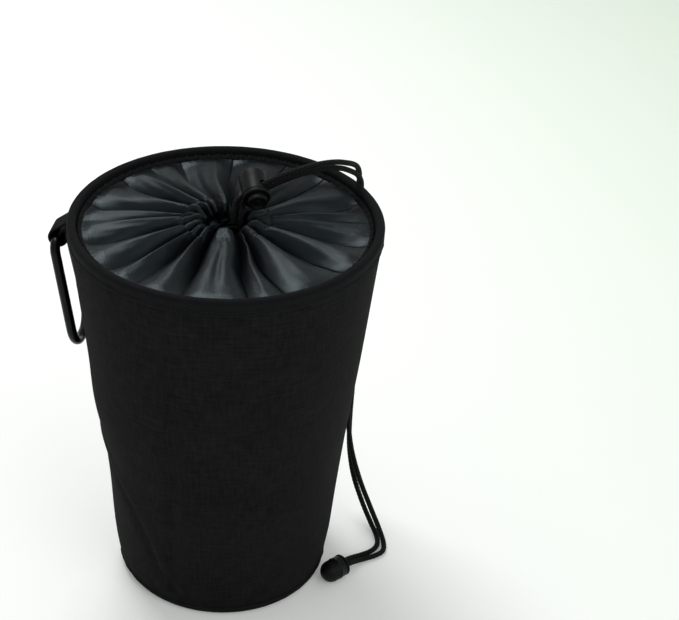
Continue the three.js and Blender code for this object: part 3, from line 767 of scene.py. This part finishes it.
def wall_relief(angle, height):
    """How far the cloth stands out from the plain cone."""
    rise = wall_rise(height)
    free = smooth(0, 0.12, rise) * smooth(0.95, 0.4, rise)
    relief = 0.5 * MM * np.sin(math.pi * rise)
    for count, size, shift, bands in BROAD_WAVES:
        wave = np.cos(count * angle + shift) * np.cos(bands * math.pi * rise + shift)
        relief = relief + size * MM * free * wave
    relief = relief + long_crease(angle, height) * smooth(0.02, 0.15, rise) + side_slack(angle, height)
    beside = np.abs(crease_distance(angle, height, UPRIGHT_CREASE))
    relief = relief - 1.3 * MM * hump(beside, 0, 3.5 * MM) + 0.6 * MM * hump(beside, 0, 14 * MM)
    puckers = hem_puckers(angle)
    relief = relief + 0.16 * MM * puckers * hump(height, WALL_LOW, 9 * MM)
    relief = relief + 0.12 * MM * puckers * hump(height, WALL_TAPER_TOP, 7 * MM)
    seam = np.abs(angle - SEAM_ANGLE) * cone_radius(height)
    return relief - 0.5 * MM * hump(seam, 0, 0.7 * MM) + 0.25 * MM * hump(seam, 3 * MM, 2.4 * MM)


def make_wall():
    heights = np.concatenate([
        np.linspace(WALL_LOW, WALL_TAPER_TOP, 120),
        np.linspace(WALL_TAPER_TOP, WALL_TOP, 4)[1:],
    ])
    turn, height = np.meshgrid(full_turn(WALL_COLUMNS), heights)
    outside = cone_radius(height) + wall_relief(turn, height)
    inside = outside - WALL_THICKNESS
    radius = np.concatenate([outside, inside[::-1], outside[:1]])
    turn = np.concatenate([turn, turn, turn[:1]])
    height = np.concatenate([height, height[::-1], height[:1]])
    along = np.concatenate([heights, 2 * WALL_TOP - heights[::-1], [2 * WALL_TOP]])
    uv = grid_uv(np.linspace(0, 2 * math.pi * WALL_MEAN_RADIUS, WALL_COLUMNS + 1), along)
    wall = grid_piece("bag_wall", oxford, on_circle(turn, radius, height), uv)
    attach(wall, "bag")
    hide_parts("outer_shell")


# Base: a cloth tray with a rolled seam, and a lining over its board

BASE_CUT_RADIUS = 64 * MM
LINING_CUT_RADIUS = 58.5 * MM


def base_relief(angle, height, radius):
    """Puckers and slack at the turned-up edge, in line with those of the wall above it."""
    edge = smooth(50 * MM, 60 * MM, radius) * smooth(0, 5 * MM, height)
    return edge * (0.15 * MM * hem_puckers(angle) + side_slack(angle, height))


def make_base():
    corner = (BASE_RADIUS - BASE_CORNER, BASE_CORNER)
    thickness = 1.6 * MM
    roll = 0.75 * MM
    base = turned_piece("bag_base", oxford, [
        (0, 0), (20 * MM, 0), (40 * MM, 0), (52 * MM, 0),
        *arc_points(corner, BASE_CORNER, -90, 0, 8),
        *arc_points((BASE_RADIUS - 0.2 * MM, BASE_WALL - 0.4 * MM), roll, -70, 110, 8),
        (BASE_RADIUS - thickness, BASE_WALL),
        *arc_points(corner, BASE_CORNER - thickness, 0, -90, 4),
        (0, thickness),
    ], 144, relief=base_relief)
    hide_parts("base_panel")
    top = 3.75 * MM
    lining = turned_piece("base_lining", taffeta, [
        (0, top), (18 * MM, top + 0.1 * MM), (36 * MM, top + 0.15 * MM), (50 * MM, top),
        *arc_points((56 * MM, top + 1.5 * MM), 1.5 * MM, -90, 0, 4),
        (57.6 * MM, top + 1.2 * MM),
        *arc_points((56.1 * MM, top + 1.1 * MM), 1.4 * MM, 0, -90, 3),
        (0, top - 0.2 * MM),
    ], 96)
    for piece, slot, cut_radius, held in (
        (base, "oxford_cloth", BASE_CUT_RADIUS, "stretched"),
        (lining, "taffeta", LINING_CUT_RADIUS, "laid"),
    ):
        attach(piece, "bag")


# Rim: a binding tape folded over the wall's edge, sewn through near its foot

STITCH_HEIGHT = BAG_HEIGHT - 6.6 * MM
STITCH_PITCH = 2.6 * MM
STITCH_LENGTH = 1.9 * MM
STITCH_RADIUS = 0.22 * MM


def binding_relief(angle, height, radius):
    """Small gathers in the tape, stronger towards its sewn foot."""
    middle = RIM_RADIUS - 2.6 * MM
    outward = np.where(radius > middle, 1.0, -1.0)
    waves = 0.6 * ripple(angle, 38, 3, 2) + 0.4 * ripple(angle, 61, 2, 5)
    return outward * 0.14 * MM * waves * (0.4 + hump(height, BINDING_FOOT, 4 * MM))


def make_binding():
    crown = 2.3 * MM
    lip = 0.5 * MM
    foot, outer, inner = BINDING_FOOT, RIM_RADIUS, RIM_INNER_RADIUS
    binding = turned_piece("rim_tape", tape, [
        (outer - 0.5 * MM, foot + lip),
        (outer - 0.1 * MM, foot + 1.2 * MM),
        (outer - 0.55 * MM, foot + 2.4 * MM),
        (outer - 0.2 * MM, foot + 3.6 * MM),
        *arc_points((outer - crown, BAG_HEIGHT - crown), crown, -8, 90, 8),
        *arc_points((inner + crown, BAG_HEIGHT - crown), crown, 90, 188, 8),
        (inner + 0.2 * MM, foot + 3.6 * MM),
        (inner + 0.5 * MM, foot + 2.4 * MM),
        (inner + 0.1 * MM, foot + 1.2 * MM),
        (inner + 0.4 * MM, foot + lip),
        (inner + BINDING, foot + lip),
        (inner + BINDING, BAG_HEIGHT - BINDING),
        (outer - BINDING, BAG_HEIGHT - BINDING),
        (outer - BINDING, foot + lip),
        (outer - 0.5 * MM, foot + lip),
    ], 216, relief=binding_relief)
    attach(binding, "bag")
    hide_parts("rim_binding")


def stitch_ring(name, radius, side):
    """A ring of short stitches on a cloth face. side is 1 where the face looks outward, else -1."""
    shape = Shape()
    count = round(2 * math.pi * radius / STITCH_PITCH)
    section = round_section(STITCH_RADIUS, 6)
    half = STITCH_LENGTH / 2 / radius
    for i in range(count):
        middle = 2 * math.pi * i / count
        path = []
        for t in (-1, -0.6, 0, 0.6, 1):
            lift = (STITCH_RADIUS * (1 - t * t) - 0.1 * MM) * side
            path.append(on_circle(middle + half * t, radius + lift, STITCH_HEIGHT))
        swept_grid(shape, path, section)
    ring = shape.piece(name, thread, sharp=60)
    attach(ring, "bag")


# Gathered closure: pleats of one cloth strip that narrow towards the cord's casing

PLEAT_ROWS = 72
PLEAT_COLUMNS = 33
FLAP_COLUMNS = 5
STRIP_LENGTH = 72 * MM
SKIRT_LEVEL = BAG_HEIGHT - 5 * MM
SKIRT_OUTER = 78.0 * MM
CASING_STITCH = 0.82
FOLD_ANGLE = math.radians(82)
FOLD_CLEARANCE = 1.5 * MM

# For each pleat, the valley before it: its angle in degrees at the rim and at the hole, and its depth, from
# 0 to 1. Then its ridge: its place across the pleat, from -1 to 1, its height, from 0 to 1, and how full it
# is: 1 is a crisp edge, 2 a round one and 4 a flat panel
PLEATS = [
    (-3, -1, 1.0, 0.35, 0.85, 1.8),
    (14, 10, 0.3, -0.4, 0.85, 1.6),
    (30, 22, 1.0, -0.3, 0.80, 1.9),
    (56, 50, 0.9, 0.0, 0.70, 1.4),
    (75, 73, 0.5, -0.2, 0.80, 1.6),
    (99, 95, 0.9, -0.3, 0.80, 1.3),
    (122, 116, 0.9, 0.1, 0.90, 1.8),
    (135, 133, 0.4, -0.1, 0.90, 1.5),
    (149, 149, 1.0, 0.1, 1.00, 2.0),
    (174, 173, 1.0, 0.3, 0.90, 1.6),
    (187, 186, 0.3, -0.2, 1.00, 2.0),
    (203, 201, 1.0, 0.1, 1.00, 1.7),
    (225, 219, 1.0, 0.0, 0.90, 1.3),
    (240, 236, 0.8, 0.0, 0.90, 1.5),
    (260, 252, 1.0, 0.0, 0.95, 3.2),
    (289, 301, 1.0, 0.0, 0.60, 1.5),
    (303, 311, 0.8, -0.2, 1.00, 2.1),
    (334, 335, 1.0, 0.0, 0.95, 1.7),
]

draws = np.random.default_rng(7)
fold_place = draws.uniform(-0.7, 0.7, PLEAT_COUNT)
fold_size = draws.uniform(-0.9, 1.2, PLEAT_COUNT)
wrinkle_turn = draws.uniform(0, 2 * math.pi, (PLEAT_COUNT, 3))
tip_start = draws.uniform(0.88, 0.95, PLEAT_COUNT)
tip_drop = draws.uniform(3.5, 6.5, PLEAT_COUNT)
tip_puff = draws.uniform(0.5, 2.0, PLEAT_COUNT)
tip_puff[LOCK_PLEAT - 1:LOCK_PLEAT + 2] = 0.4


def valley_angle(index, inward):
    """The angle of the valley before a pleat, which starts near the pleat's hinge line at the rim."""
    hinge_edge = PLEAT_PITCH * (index - 0.5)
    turns, pleat = divmod(index, PLEAT_COUNT)
    at_rim, at_hole = (math.radians(angle) + 2 * math.pi * turns for angle in PLEATS[pleat][:2])
    start = hinge_edge + 0.85 * (at_rim - hinge_edge)
    angle = start + (at_rim - start) * smooth(0, 0.5, inward)
    return angle + (at_hole - at_rim) * smooth(0.45, 0.95, inward)


def pleat_swell(index, inward, across):
    """How near the cloth is to the pleat's ridge, from 0 to 1, and the depth of the valley beside it."""
    depth, place, _, full = PLEATS[index][2:]
    next_depth = PLEATS[(index + 1) % PLEAT_COUNT][2]
    full = full + 0.8 * smooth(0.7, 0.9, inward)
    to_ridge = np.where(across < place, (across + 1) / (place + 1), (1 - across) / (1 - place))
    return 1 - (1 - to_ridge) ** full, np.where(across < place, depth, next_depth)


def pleat_wrinkles(index, inward, across):
    """Small folds and puckers, which fade out towards the pleat's valleys."""
    turns = wrinkle_turn[index]
    fold = fold_size[index] * MM * hump(across, fold_place[index], 0.14) * hump(inward, 0.5, 0.3)
    wrinkles = 0.25 * np.sin(5 * across + turns[0] + 4 * inward) * smooth(0.05, 0.3, inward)
    wrinkles = wrinkles + 0.12 * np.sin(11 * across + turns[1] - 7 * inward) * smooth(0, 0.3, inward)
    wrinkles = wrinkles + 0.14 * np.sin(8 * math.pi * across + turns[2]) * hump(inward, 0, 0.05)
    casing = hump(inward, CASING_STITCH, 0.1)
    wrinkles = wrinkles + 0.22 * np.sin(16 * across + turns[2] + 30 * inward) * casing
    return (fold + wrinkles * MM) * (1 - across**2)


def pleat_height(index, inward, across):
    """Height of the cloth at a share of the way in and at a place across the pleat, from -1 to 1."""
    swell, depth = pleat_swell(index, inward, across)
    ridge = PLEATS[index][4]
    sewn = smooth(-0.02, 0.11, inward)
    rise = (1.6 + 3.1 * smooth(0, 0.75, inward)) * MM * sewn
    drop = (2.6 + 4.2 * smooth(0, 0.6, inward) - 2.2 * smooth(0.72, 0.9, inward)) * MM * sewn
    valley = 0.75 * rise * (1 - depth) - drop * depth
    height = SKIRT_LEVEL + 1.0 * MM * smooth(0, 0.6, inward)
    height = height + valley + (rise * ridge - valley) * swell
    height = height + pleat_wrinkles(index, inward, across)
    pinch = 1.1 * MM * hump(inward, CASING_STITCH, 0.013) * (0.4 + 0.6 * swell)
    puff = tip_puff[index] * MM * hump(inward, tip_start[index], 0.05) * swell
    tip = tip_drop[index] * MM * smooth(tip_start[index], 1.04, inward) ** 1.5
    return height + puff - pinch - tip


def room_behind(radius, angle):
    """How far below the hinges cloth may hang and still clear the wall when its pleat is folded down."""
    away = PLEAT_HINGE_RADIUS - radius * np.cos(angle)
    hung = PLEAT_HINGE_HEIGHT - away * math.sin(FOLD_ANGLE)
    inside = cone_radius(hung) - WALL_THICKNESS - FOLD_CLEARANCE
    aside = np.minimum(np.abs(radius * np.sin(angle)), 0.9 * inside)
    return np.sqrt(inside**2 - aside**2) - PLEAT_HINGE_RADIUS + away * math.cos(FOLD_ANGLE)


def pleat_points(index):
    """The pleat's cloth, row by row from the rim, with the flap that lies under the next pleat."""
    inward = np.linspace(0, 1, PLEAT_ROWS)[:, None]
    across = np.linspace(-1, 1, PLEAT_COLUMNS)[None]
    swell = pleat_swell(index, inward, across)[0]
    radius = SKIRT_OUTER + (GATHER_RADIUS - SKIRT_OUTER) * inward
    left, right = valley_angle(index, inward), valley_angle(index + 1, inward)
    angle = left + (right - left) * (across + 1) / 2
    height = pleat_height(index, inward, across)
    scallop = 2.2 * MM * (1 - swell) * smooth(0.85, 1, inward)
    reach = np.maximum(PLEAT_HINGE_RADIUS - radius, 0)
    flap = 2 * reach * math.tan(PLEAT_PITCH / 2) * np.linspace(0, 1, FLAP_COLUMNS + 1)[None, 1:]
    flap_angle = right + flap / radius
    flap_height = height[:, -1:] - 0.4 * MM - 0.28 * flap
    room = room_behind(radius, flap_angle - PLEAT_PITCH * index)
    flap_height = np.maximum(flap_height, PLEAT_HINGE_HEIGHT - room)
    angle = np.concatenate([angle, flap_angle], axis=1)
    height = np.concatenate([height, flap_height], axis=1)
    edge = np.repeat(scallop[:, -1:], FLAP_COLUMNS, axis=1)
    radius = radius + np.concatenate([scallop, edge], axis=1)
    return on_circle(angle, radius, height)


def make_pleat(index):
    points = pleat_points(index)
    valley_pitch = math.radians(PLEATS[(index + 1) % PLEAT_COUNT][0] - PLEATS[index][0]) % (2 * math.pi)
    strip_width = PLEAT_HINGE_RADIUS * (valley_pitch + PLEAT_PITCH) / 2
    widths = np.linspace(0, strip_width, points.shape[1])
    uv = grid_uv(widths, np.linspace(0, STRIP_LENGTH, PLEAT_ROWS))
    number = f"{index + 1:02d}"
    pleat = grid_piece(f"closure_pleat_{number}", taffeta, points, uv, wrap=False)
    thickness = pleat.modifiers.new("thickness", "SOLIDIFY")
    thickness.thickness = 0.4 * MM
    thickness.offset = -1
    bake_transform(pleat)
    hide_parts(f"skirt_pleat_{number}")


# The band's section as (radius, height over the rim) in mm, and how much of the gathers each point takes
BAND_PROFILE = [
    (79.6, -6.5), (79.5, -4.6), (79.0, -3.6), (78.2, -3.5), (77.3, -4.2), (76.8, -5.0),
    (77.0, -5.8), (78.2, -5.8), (79.0, -6.8), (79.6, -6.5),
]
BAND_SWELL = [0, 0.4, 0.9, 1, 0.8, 0.5, 0.2, 0.2, 0, 0]
BAND_MIDDLE = 78.5 * MM
BAND_COLUMNS = 540
GATHER_LIFT = 0.28 * MM


def band_gathers(angle):
    return ripple(angle, 74, 3, 3) + 0.6 * ripple(angle, 113, 2, 7)


def make_band():
    """The gathered edge of the closure, sewn to the inside of the binding."""
    angles = full_turn(BAND_COLUMNS)
    gathers = band_gathers(angles)
    points = []
    for (radius, height), amount in zip(BAND_PROFILE, BAND_SWELL):
        lifted = BAG_HEIGHT + height * MM + GATHER_LIFT * amount * gathers
        ruffled = radius * MM + 0.22 * MM * amount * np.sin(74 * angles)
        points.append(on_circle(angles, ruffled, lifted))
    round_length = 2 * math.pi * 77 * MM
    along = lengths_along(np.array(BAND_PROFILE) * MM)
    uv = grid_uv(np.linspace(0, round_length, BAND_COLUMNS + 1), along)
    band = grid_piece("closure_band", tape, points, uv)
    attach(band, "bag")
    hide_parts("skirt_band")


def make_zigzag():
    """Overcast thread that runs to and fro over the closure's sewn edge."""
    count = 190
    half = 0.55 * MM
    path = []
    for i in range(2 * count):
        angle = math.pi * (i + 0.5) / count
        radius = BAND_MIDDLE + (half if i % 2 else -half)
        lift = BAG_HEIGHT - 3.35 * MM + GATHER_LIFT * band_gathers(angle)
        path.append(on_circle(angle, radius, lift))
    path.append(path[0])
    zigzag = swept_piece("closure_zigzag", thread, path, round_section(0.24 * MM, 6))
    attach(zigzag, "bag")


# Hanging strap: doubled webbing, sewn to the wall and bent round the hook's bar

STRAP_HINGE = Vector((-86.8, 0, 218.4)) * MM
STRAP_DROP = math.radians(62)
STRAP_REACH = 10.8 * MM
WEBBING = 1.3 * MM
WEBBING_WIDTH = 15 * MM
STRAP_EYE = 4.2 * MM
HOOK_BAR = 5.5 * MM

strap_out = Vector((-math.cos(STRAP_DROP), 0, -math.sin(STRAP_DROP)))
strap_away = Vector((-math.sin(STRAP_DROP), 0, math.cos(STRAP_DROP)))


def make_strap():
    eye_centre = STRAP_REACH - (STRAP_EYE - HOOK_BAR / 2 - FIT)
    loop = STRAP_EYE + WEBBING / 2
    layer = WEBBING / 2
    flare = math.degrees(math.asin((loop - layer) / eye_centre))
    line = [
        *arc_points((0, 0), layer, 180, 90 + flare, 3),
        *arc_points((eye_centre, 0), loop, 90 + flare, -90 - flare, 36),
        *arc_points((0, 0), layer, -90 - flare, -180, 3),
    ]
    path = np.array([STRAP_HINGE + strap_out * x + strap_away * y for x, y in line])
    width_way = (0.0, 1.0, 0.0)
    section = slot_outline(WEBBING_WIDTH / 2, WEBBING / 2, steps=4)
    strap = swept_piece("strap_loop", webbing, path, section, flat_frames(path, width_way))
    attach(strap, "strap")
    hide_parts("hanging_strap")
    tab_low, tab_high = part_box("strap_tab")
    root_heights = np.linspace(tab_low.z, tab_high.z, 12)
    root_path = [(tab_low.x + WEBBING / 2, 0, z) for z in root_heights]
    root_frames = fixed_frames(root_path, width_way, (1.0, 0.0, 0.0))
    root = swept_piece("strap_root", webbing, root_path, section, root_frames)
    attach(root, "bag")
    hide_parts("strap_tab")
    make_strap_stitches(tab_low, tab_high)


def make_strap_stitches(low, high):
    """A sewn box with a cross in it on the strap's root."""
    face = low.x - 0.05 * MM
    inset = 1.2 * MM
    half, foot, head = WEBBING_WIDTH / 2 - inset, low.z + inset, high.z - inset
    corners = [(-half, foot), (half, foot), (half, head), (-half, head)]
    runs = [(corners[i], corners[(i + 1) % 4]) for i in range(4)]
    runs += [(corners[0], corners[2]), (corners[1], corners[3])]
    shape = Shape()
    for (y0, z0), (y1, z1) in runs:
        count = max(2, round(math.hypot(y1 - y0, z1 - z0) / (2.2 * MM)))
        for i in range(count):
            path = []
            for t in (0.08, 0.25, 0.5, 0.75, 0.92):
                s = (i + t) / count
                lift = 0.2 * MM * (1 - (2 * t - 1) ** 2)
                path.append((face - lift, y0 + (y1 - y0) * s, z0 + (z1 - z0) * s))
            swept_grid(shape, path, round_section(0.2 * MM, 6))
    stitches = shape.piece("strap_stitches", thread, sharp=60)
    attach(stitches, "bag")


# Snap hook, in a frame with its top bar along Y through the origin and its length along -Z

HOOK_LEAN = math.radians(8)
HOOK_TOP_ROUND = 5.5 * MM
HOOK_WIDE_ROUND = 13 * MM
HOOK_HALF_NARROW = (31.6 * MM - HOOK_BAR) / 2
HOOK_WIDE_SIDE = 36 * MM - HOOK_BAR - HOOK_HALF_NARROW
HOOK_RUN = 72 * MM - HOOK_BAR
GATE_LENGTH = 32 * MM
GATE_RADIUS = 2.3 * MM
GATE_SHOULDER = 2.9 * MM
TONGUE = 1.6 * MM
TONGUE_WIDTH = 4.2 * MM

gate_top_centre = Vector((HOOK_HALF_NARROW - HOOK_TOP_ROUND, HOOK_TOP_ROUND))
gate_foot_centre = Vector((HOOK_WIDE_SIDE - HOOK_WIDE_ROUND, HOOK_RUN - HOOK_WIDE_ROUND))
gate_span = gate_foot_centre - gate_top_centre
gate_lean = math.asin((HOOK_WIDE_ROUND - HOOK_TOP_ROUND) / gate_span.length)
gate_tilt = gate_lean + math.atan2(gate_span.x, gate_span.y)
gate_along = Vector((math.sin(gate_tilt), math.cos(gate_tilt)))
gate_outward = Vector((math.cos(gate_tilt), -math.sin(gate_tilt)))
gate_hinge = gate_top_centre + gate_outward * HOOK_TOP_ROUND + gate_along * 5 * MM
hook_place = Matrix.Translation(STRAP_HINGE + STRAP_REACH * strap_out)
hook_pose = hook_place @ Matrix.Rotation(-HOOK_LEAN, 4, "Y")
gate_place = hook_pose @ Matrix.Translation((0, gate_hinge.x, -gate_hinge.y))
gate_pose = gate_place @ Matrix.Rotation(gate_tilt, 4, "X")


def hook_line():
    """The bar's middle line, across and down, from the gate's hinge round to its nose."""
    start = gate_hinge - gate_along * GATE_SHOULDER
    nose = gate_hinge + gate_along * (GATE_LENGTH + FIT)
    tilt = math.degrees(gate_tilt)
    spine = -HOOK_HALF_NARROW
    line = [
        tuple(start),
        *arc_points(gate_top_centre, HOOK_TOP_ROUND, -tilt, -90, 12),
        *arc_points((spine + HOOK_TOP_ROUND, HOOK_TOP_ROUND), HOOK_TOP_ROUND, -90, -180, 12),
        *arc_points((spine + HOOK_WIDE_ROUND, HOOK_RUN - HOOK_WIDE_ROUND), HOOK_WIDE_ROUND, 180, 90, 14),
        *arc_points(gate_foot_centre, HOOK_WIDE_ROUND, 90, -tilt, 16),
        tuple(nose),
    ]
    return np.array([(0, across, -down) for across, down in line])


def tongue_grid(shape, low, high):
    """Adds a flat tongue along the gate, from low to a round end at high."""
    half = TONGUE_WIDTH / 2
    edge = 0.2 * MM
    tip = arc_points((0, high), half, 0, 180 if high > low else -180, 8)
    outline = [(half, low), *tip, (-half, low)]
    middle = (low + high) / 2
    faces = ((-TONGUE / 2, 0.9), (-TONGUE / 2 + edge, 1), (TONGUE / 2 - edge, 1), (TONGUE / 2, 0.9))
    rows = []
    for x, scale in faces:
        shrink = 1 if scale == 1 else 0.985
        rows.append([(x, y * scale, middle + (z - middle) * shrink) for y, z in outline])
    uv = grid_uv(np.arange(len(outline) + 1) * MM, np.arange(len(rows)) * MM)
    shape.closed_grid(placed(rows, gate_pose), uv)


def make_hook():
    path = placed(hook_line(), hook_pose)
    radius = HOOK_BAR / 2
    shape = Shape()
    section = round_section(radius, 24)
    normal = np.array(hook_pose.to_3x3() @ Vector((1, 0, 0)))
    swept_grid(shape, path, section, frames=flat_frames(path, normal))
    tongue_grid(shape, GATE_SHOULDER + radius, 0.0)
    tongue_grid(shape, -GATE_LENGTH - radius, -GATE_LENGTH + 2.9 * MM)
    hook = shape.piece("hook_body", anodised, sharp=50)
    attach(hook, "hook")
    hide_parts("carabiner_body")


def make_gate():
    """A round bar with a slot at each end, one for the hinge tongue and one for the nose."""
    edge = 0.5 * MM
    gate = turned_piece("hook_gate", anodised, [
        (0, -GATE_LENGTH), (GATE_RADIUS - edge, -GATE_LENGTH), (GATE_RADIUS, -GATE_LENGTH + edge),
        (GATE_RADIUS, -0.5 * GATE_LENGTH), *arc_points((0, 0), GATE_RADIUS, 0, 90, 6),
    ], 32, gate_pose)
    across = Matrix.Rotation(math.radians(90), 4, "Z")
    for low, high in ((-3.0 * MM, 6 * MM), (-GATE_LENGTH - 6 * MM, -GATE_LENGTH + 5.6 * MM)):
        middle = gate_pose @ Matrix.Translation((0, 0, (low + high) / 2)) @ across
        cut(gate, box_outline(TONGUE / 2 + FIT, (high - low) / 2), 12 * MM, middle)
    gate.data.set_sharp_from_angle(angle=math.radians(40))
    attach(gate, "gate")
    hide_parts("carabiner_gate")


# Cord lock, in a frame with its barrel along Z, its button towards +Z and the cord along X

LOCK_FRONT = 5.6 * MM
LOCK_BACK = -11.6 * MM
LOCK_BORE = LOCK_RADIUS - 1.8 * MM
LOCK_FLOOR = LOCK_BACK + 1.6 * MM
LOCK_SLOT_HALF = (4.45 * MM, 2.55 * MM)
BUTTON_RADIUS = LOCK_BORE - FIT
BUTTON_BACK = -4.55 * MM
BUTTON_TIP = LOCK_FRONT + 3.6 * MM
BUTTON_WINDOW = (-2.55 * MM, 5.55 * MM)
SPRING_WIRE = 0.45 * MM
SPRING_TURNS = 3


def make_lock():
    groove = 0.3 * MM
    barrel = turned_piece("lock_body", plastic, [
        (0, LOCK_BACK), (LOCK_RADIUS - 2.6 * MM, LOCK_BACK),
        *arc_points((LOCK_RADIUS - 1.4 * MM, LOCK_BACK + 1.4 * MM), 1.4 * MM, -90, 0, 5),
        (LOCK_RADIUS, LOCK_BACK + 4 * MM), (LOCK_RADIUS, LOCK_FRONT - 2.6 * MM),
        (LOCK_RADIUS - groove, LOCK_FRONT - 2.4 * MM), (LOCK_RADIUS - groove, LOCK_FRONT - 1.9 * MM),
        (LOCK_RADIUS, LOCK_FRONT - 1.7 * MM),
        *arc_points((LOCK_RADIUS - 0.7 * MM, LOCK_FRONT - 0.7 * MM), 0.7 * MM, 0, 90, 4),
        *arc_points((LOCK_BORE + 0.4 * MM, LOCK_FRONT - 0.4 * MM), 0.4 * MM, 90, 180, 3),
        (LOCK_BORE, LOCK_FLOOR), (0, LOCK_FLOOR),
    ], 64, lock_pose)
    through_hole = 4 * LOCK_RADIUS
    cut(barrel, slot_outline(*LOCK_SLOT_HALF), through_hole, lock_pose)
    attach(barrel, "lock")
    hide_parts("lock_barrel")
    button = turned_piece("lock_button", plastic, [
        (0, BUTTON_BACK), (BUTTON_RADIUS - 0.4 * MM, BUTTON_BACK), (BUTTON_RADIUS, BUTTON_BACK + 0.4 * MM),
        (BUTTON_RADIUS, BUTTON_TIP - 1.0 * MM),
        *arc_points((BUTTON_RADIUS - 1.0 * MM, BUTTON_TIP - 1.0 * MM), 1.0 * MM, 10, 90, 5),
        (BUTTON_RADIUS - 1.5 * MM, BUTTON_TIP - 0.15 * MM),
        (BUTTON_RADIUS - 2.0 * MM, BUTTON_TIP - 0.7 * MM),
        (2.0 * MM, BUTTON_TIP - 1.0 * MM), (1.6 * MM, BUTTON_TIP - 0.75 * MM), (0, BUTTON_TIP - 0.7 * MM),
    ], 64, lock_pose)
    low, high = BUTTON_WINDOW
    window_pose = lock_pose @ Matrix.Translation((0, 0, (low + high) / 2))
    cut(button, slot_outline(LOCK_SLOT_HALF[0], (high - low) / 2), through_hole, window_pose)
    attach(button, "plunger")
    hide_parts("lock_plunger")
    for piece in (barrel, button):
        piece.data.set_sharp_from_angle(angle=math.radians(40))


def make_lock_spring():
    """The coil behind the button, from the barrel's floor to the button's back."""
    low = LOCK_FLOOR + SPRING_WIRE / 2 + FIT
    high = BUTTON_BACK - SPRING_WIRE / 2 - FIT
    coil_radius = BUTTON_RADIUS - 2 * MM
    turns = np.linspace(0, 2 * math.pi * SPRING_TURNS, 36 * SPRING_TURNS + 1)
    rise = np.linspace(low, high, len(turns))
    coil = on_circle(turns, coil_radius, rise)
    path = placed(coil, lock_pose)
    spring = swept_piece("lock_coil", spring_steel, path, round_section(SPRING_WIRE / 2, 10))
    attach(spring, "lock")
    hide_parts("lock_spring")
    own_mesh(spring)


make_wall()
make_base()
make_binding()
stitch_ring("binding_stitches_outside", RIM_RADIUS - 0.45 * MM, side=1)
stitch_ring("binding_stitches_inside", RIM_INNER_RADIUS + 0.4 * MM, side=-1)
make_band()
make_zigzag()
for pleat_index in range(PLEAT_COUNT):
    make_pleat(pleat_index)
make_strap()
make_hook()
make_gate()
make_lock()
make_lock_spring()


# CAD nodes that stay as they are get the finish of what they are made of
KEPT_NODES = {
    "base_board": board, "rim_hoop": spring_steel, "gate_spring": spring_steel,
    "gate_rivet": bright, "latch_pin": bright, "cord_end_knot": cord_yarn,
}
for name, material in KEPT_NODES.items():
    nodes[name].data.materials.clear()
    nodes[name].data.materials.append(material)


# Floor, backdrop and light

FLOOR_RADIUS = 7.0
FLOOR_BEND = 1.2
FLOOR_GLOW = 0.15
DAYLIGHT = 0.5


def make_stage():
    """A round pale floor that turns up at its far edge, a little greener towards one side."""
    edge = arc_points((FLOOR_RADIUS - FLOOR_BEND, FLOOR_BEND), FLOOR_BEND, -90, 0, 8)
    profile = [(0, 0), (0.5, 0), (2, 0), *edge]
    look = Look("studio_paper", **{"Specular IOR Level": 0.05})
    place = look.node("TexCoord").outputs["Object"]
    greener = Matrix.Rotation(CAMERA_AZIMUTH, 3, "Z") @ Vector((1, 0.3, 0))
    slant = look.node("VectorMath", {0: place, 1: greener}, operation="DOT_PRODUCT").outputs["Value"]
    fleck = look.noise(place, 40.0)
    shade = look.node("MapRange", {"Value": slant, "From Min": 0.05, "From Max": 0.75}).outputs[0]
    shade = look.sum_of((shade, 1.0), (fleck, 0.06))
    paper = look.colours(shade, (0.95, 0.955, 0.945), (0.75, 0.84, 0.73))
    look.finish(paper, look.between(fleck, 0.85, 0.95), fleck, 0.1 * MM)
    seen = look.node("LightPath").outputs
    direct = look.math("MAXIMUM", seen["Is Camera Ray"], seen["Is Glossy Ray"])
    direct = look.math("MAXIMUM", direct, seen["Is Transmission Ray"])
    look.link(paper, "Emission Color")
    look.link(look.math("MULTIPLY", direct, FLOOR_GLOW), "Emission Strength")
    floor = turned_piece("studio_floor", look.material, profile, 96)


def add_light(name, place, aim, size, power):
    data = bpy.data.lights.new(name, "AREA")
    data.shape = "DISK"
    data.size = size
    data.energy = power
    lamp = add_object(name, data)
    turn = Matrix.Rotation(CAMERA_AZIMUTH, 3, "Z")
    lamp.location = turn @ Vector(place)
    lamp.rotation_mode = "QUATERNION"
    lamp.rotation_quaternion = (turn @ (Vector(aim) - Vector(place))).to_track_quat("-Z", "Y")


def make_light():
    world = bpy.data.worlds.new("studio")
    world.use_nodes = True
    sky = world.node_tree.nodes["Background"].inputs
    sky["Color"].default_value = (0.96, 0.98, 0.97, 1)
    sky["Strength"].default_value = DAYLIGHT
    scene.world = world
    add_light("key", place=(-0.35, 0.7, 1.55), aim=(0, 0, 0.18), size=0.7, power=14)
    add_light("fill", place=(0.9, -1.1, 1.0), aim=(0, 0, 0.12), size=1.2, power=5)
    scene.view_settings.view_transform = "Standard"


make_stage()
make_light()
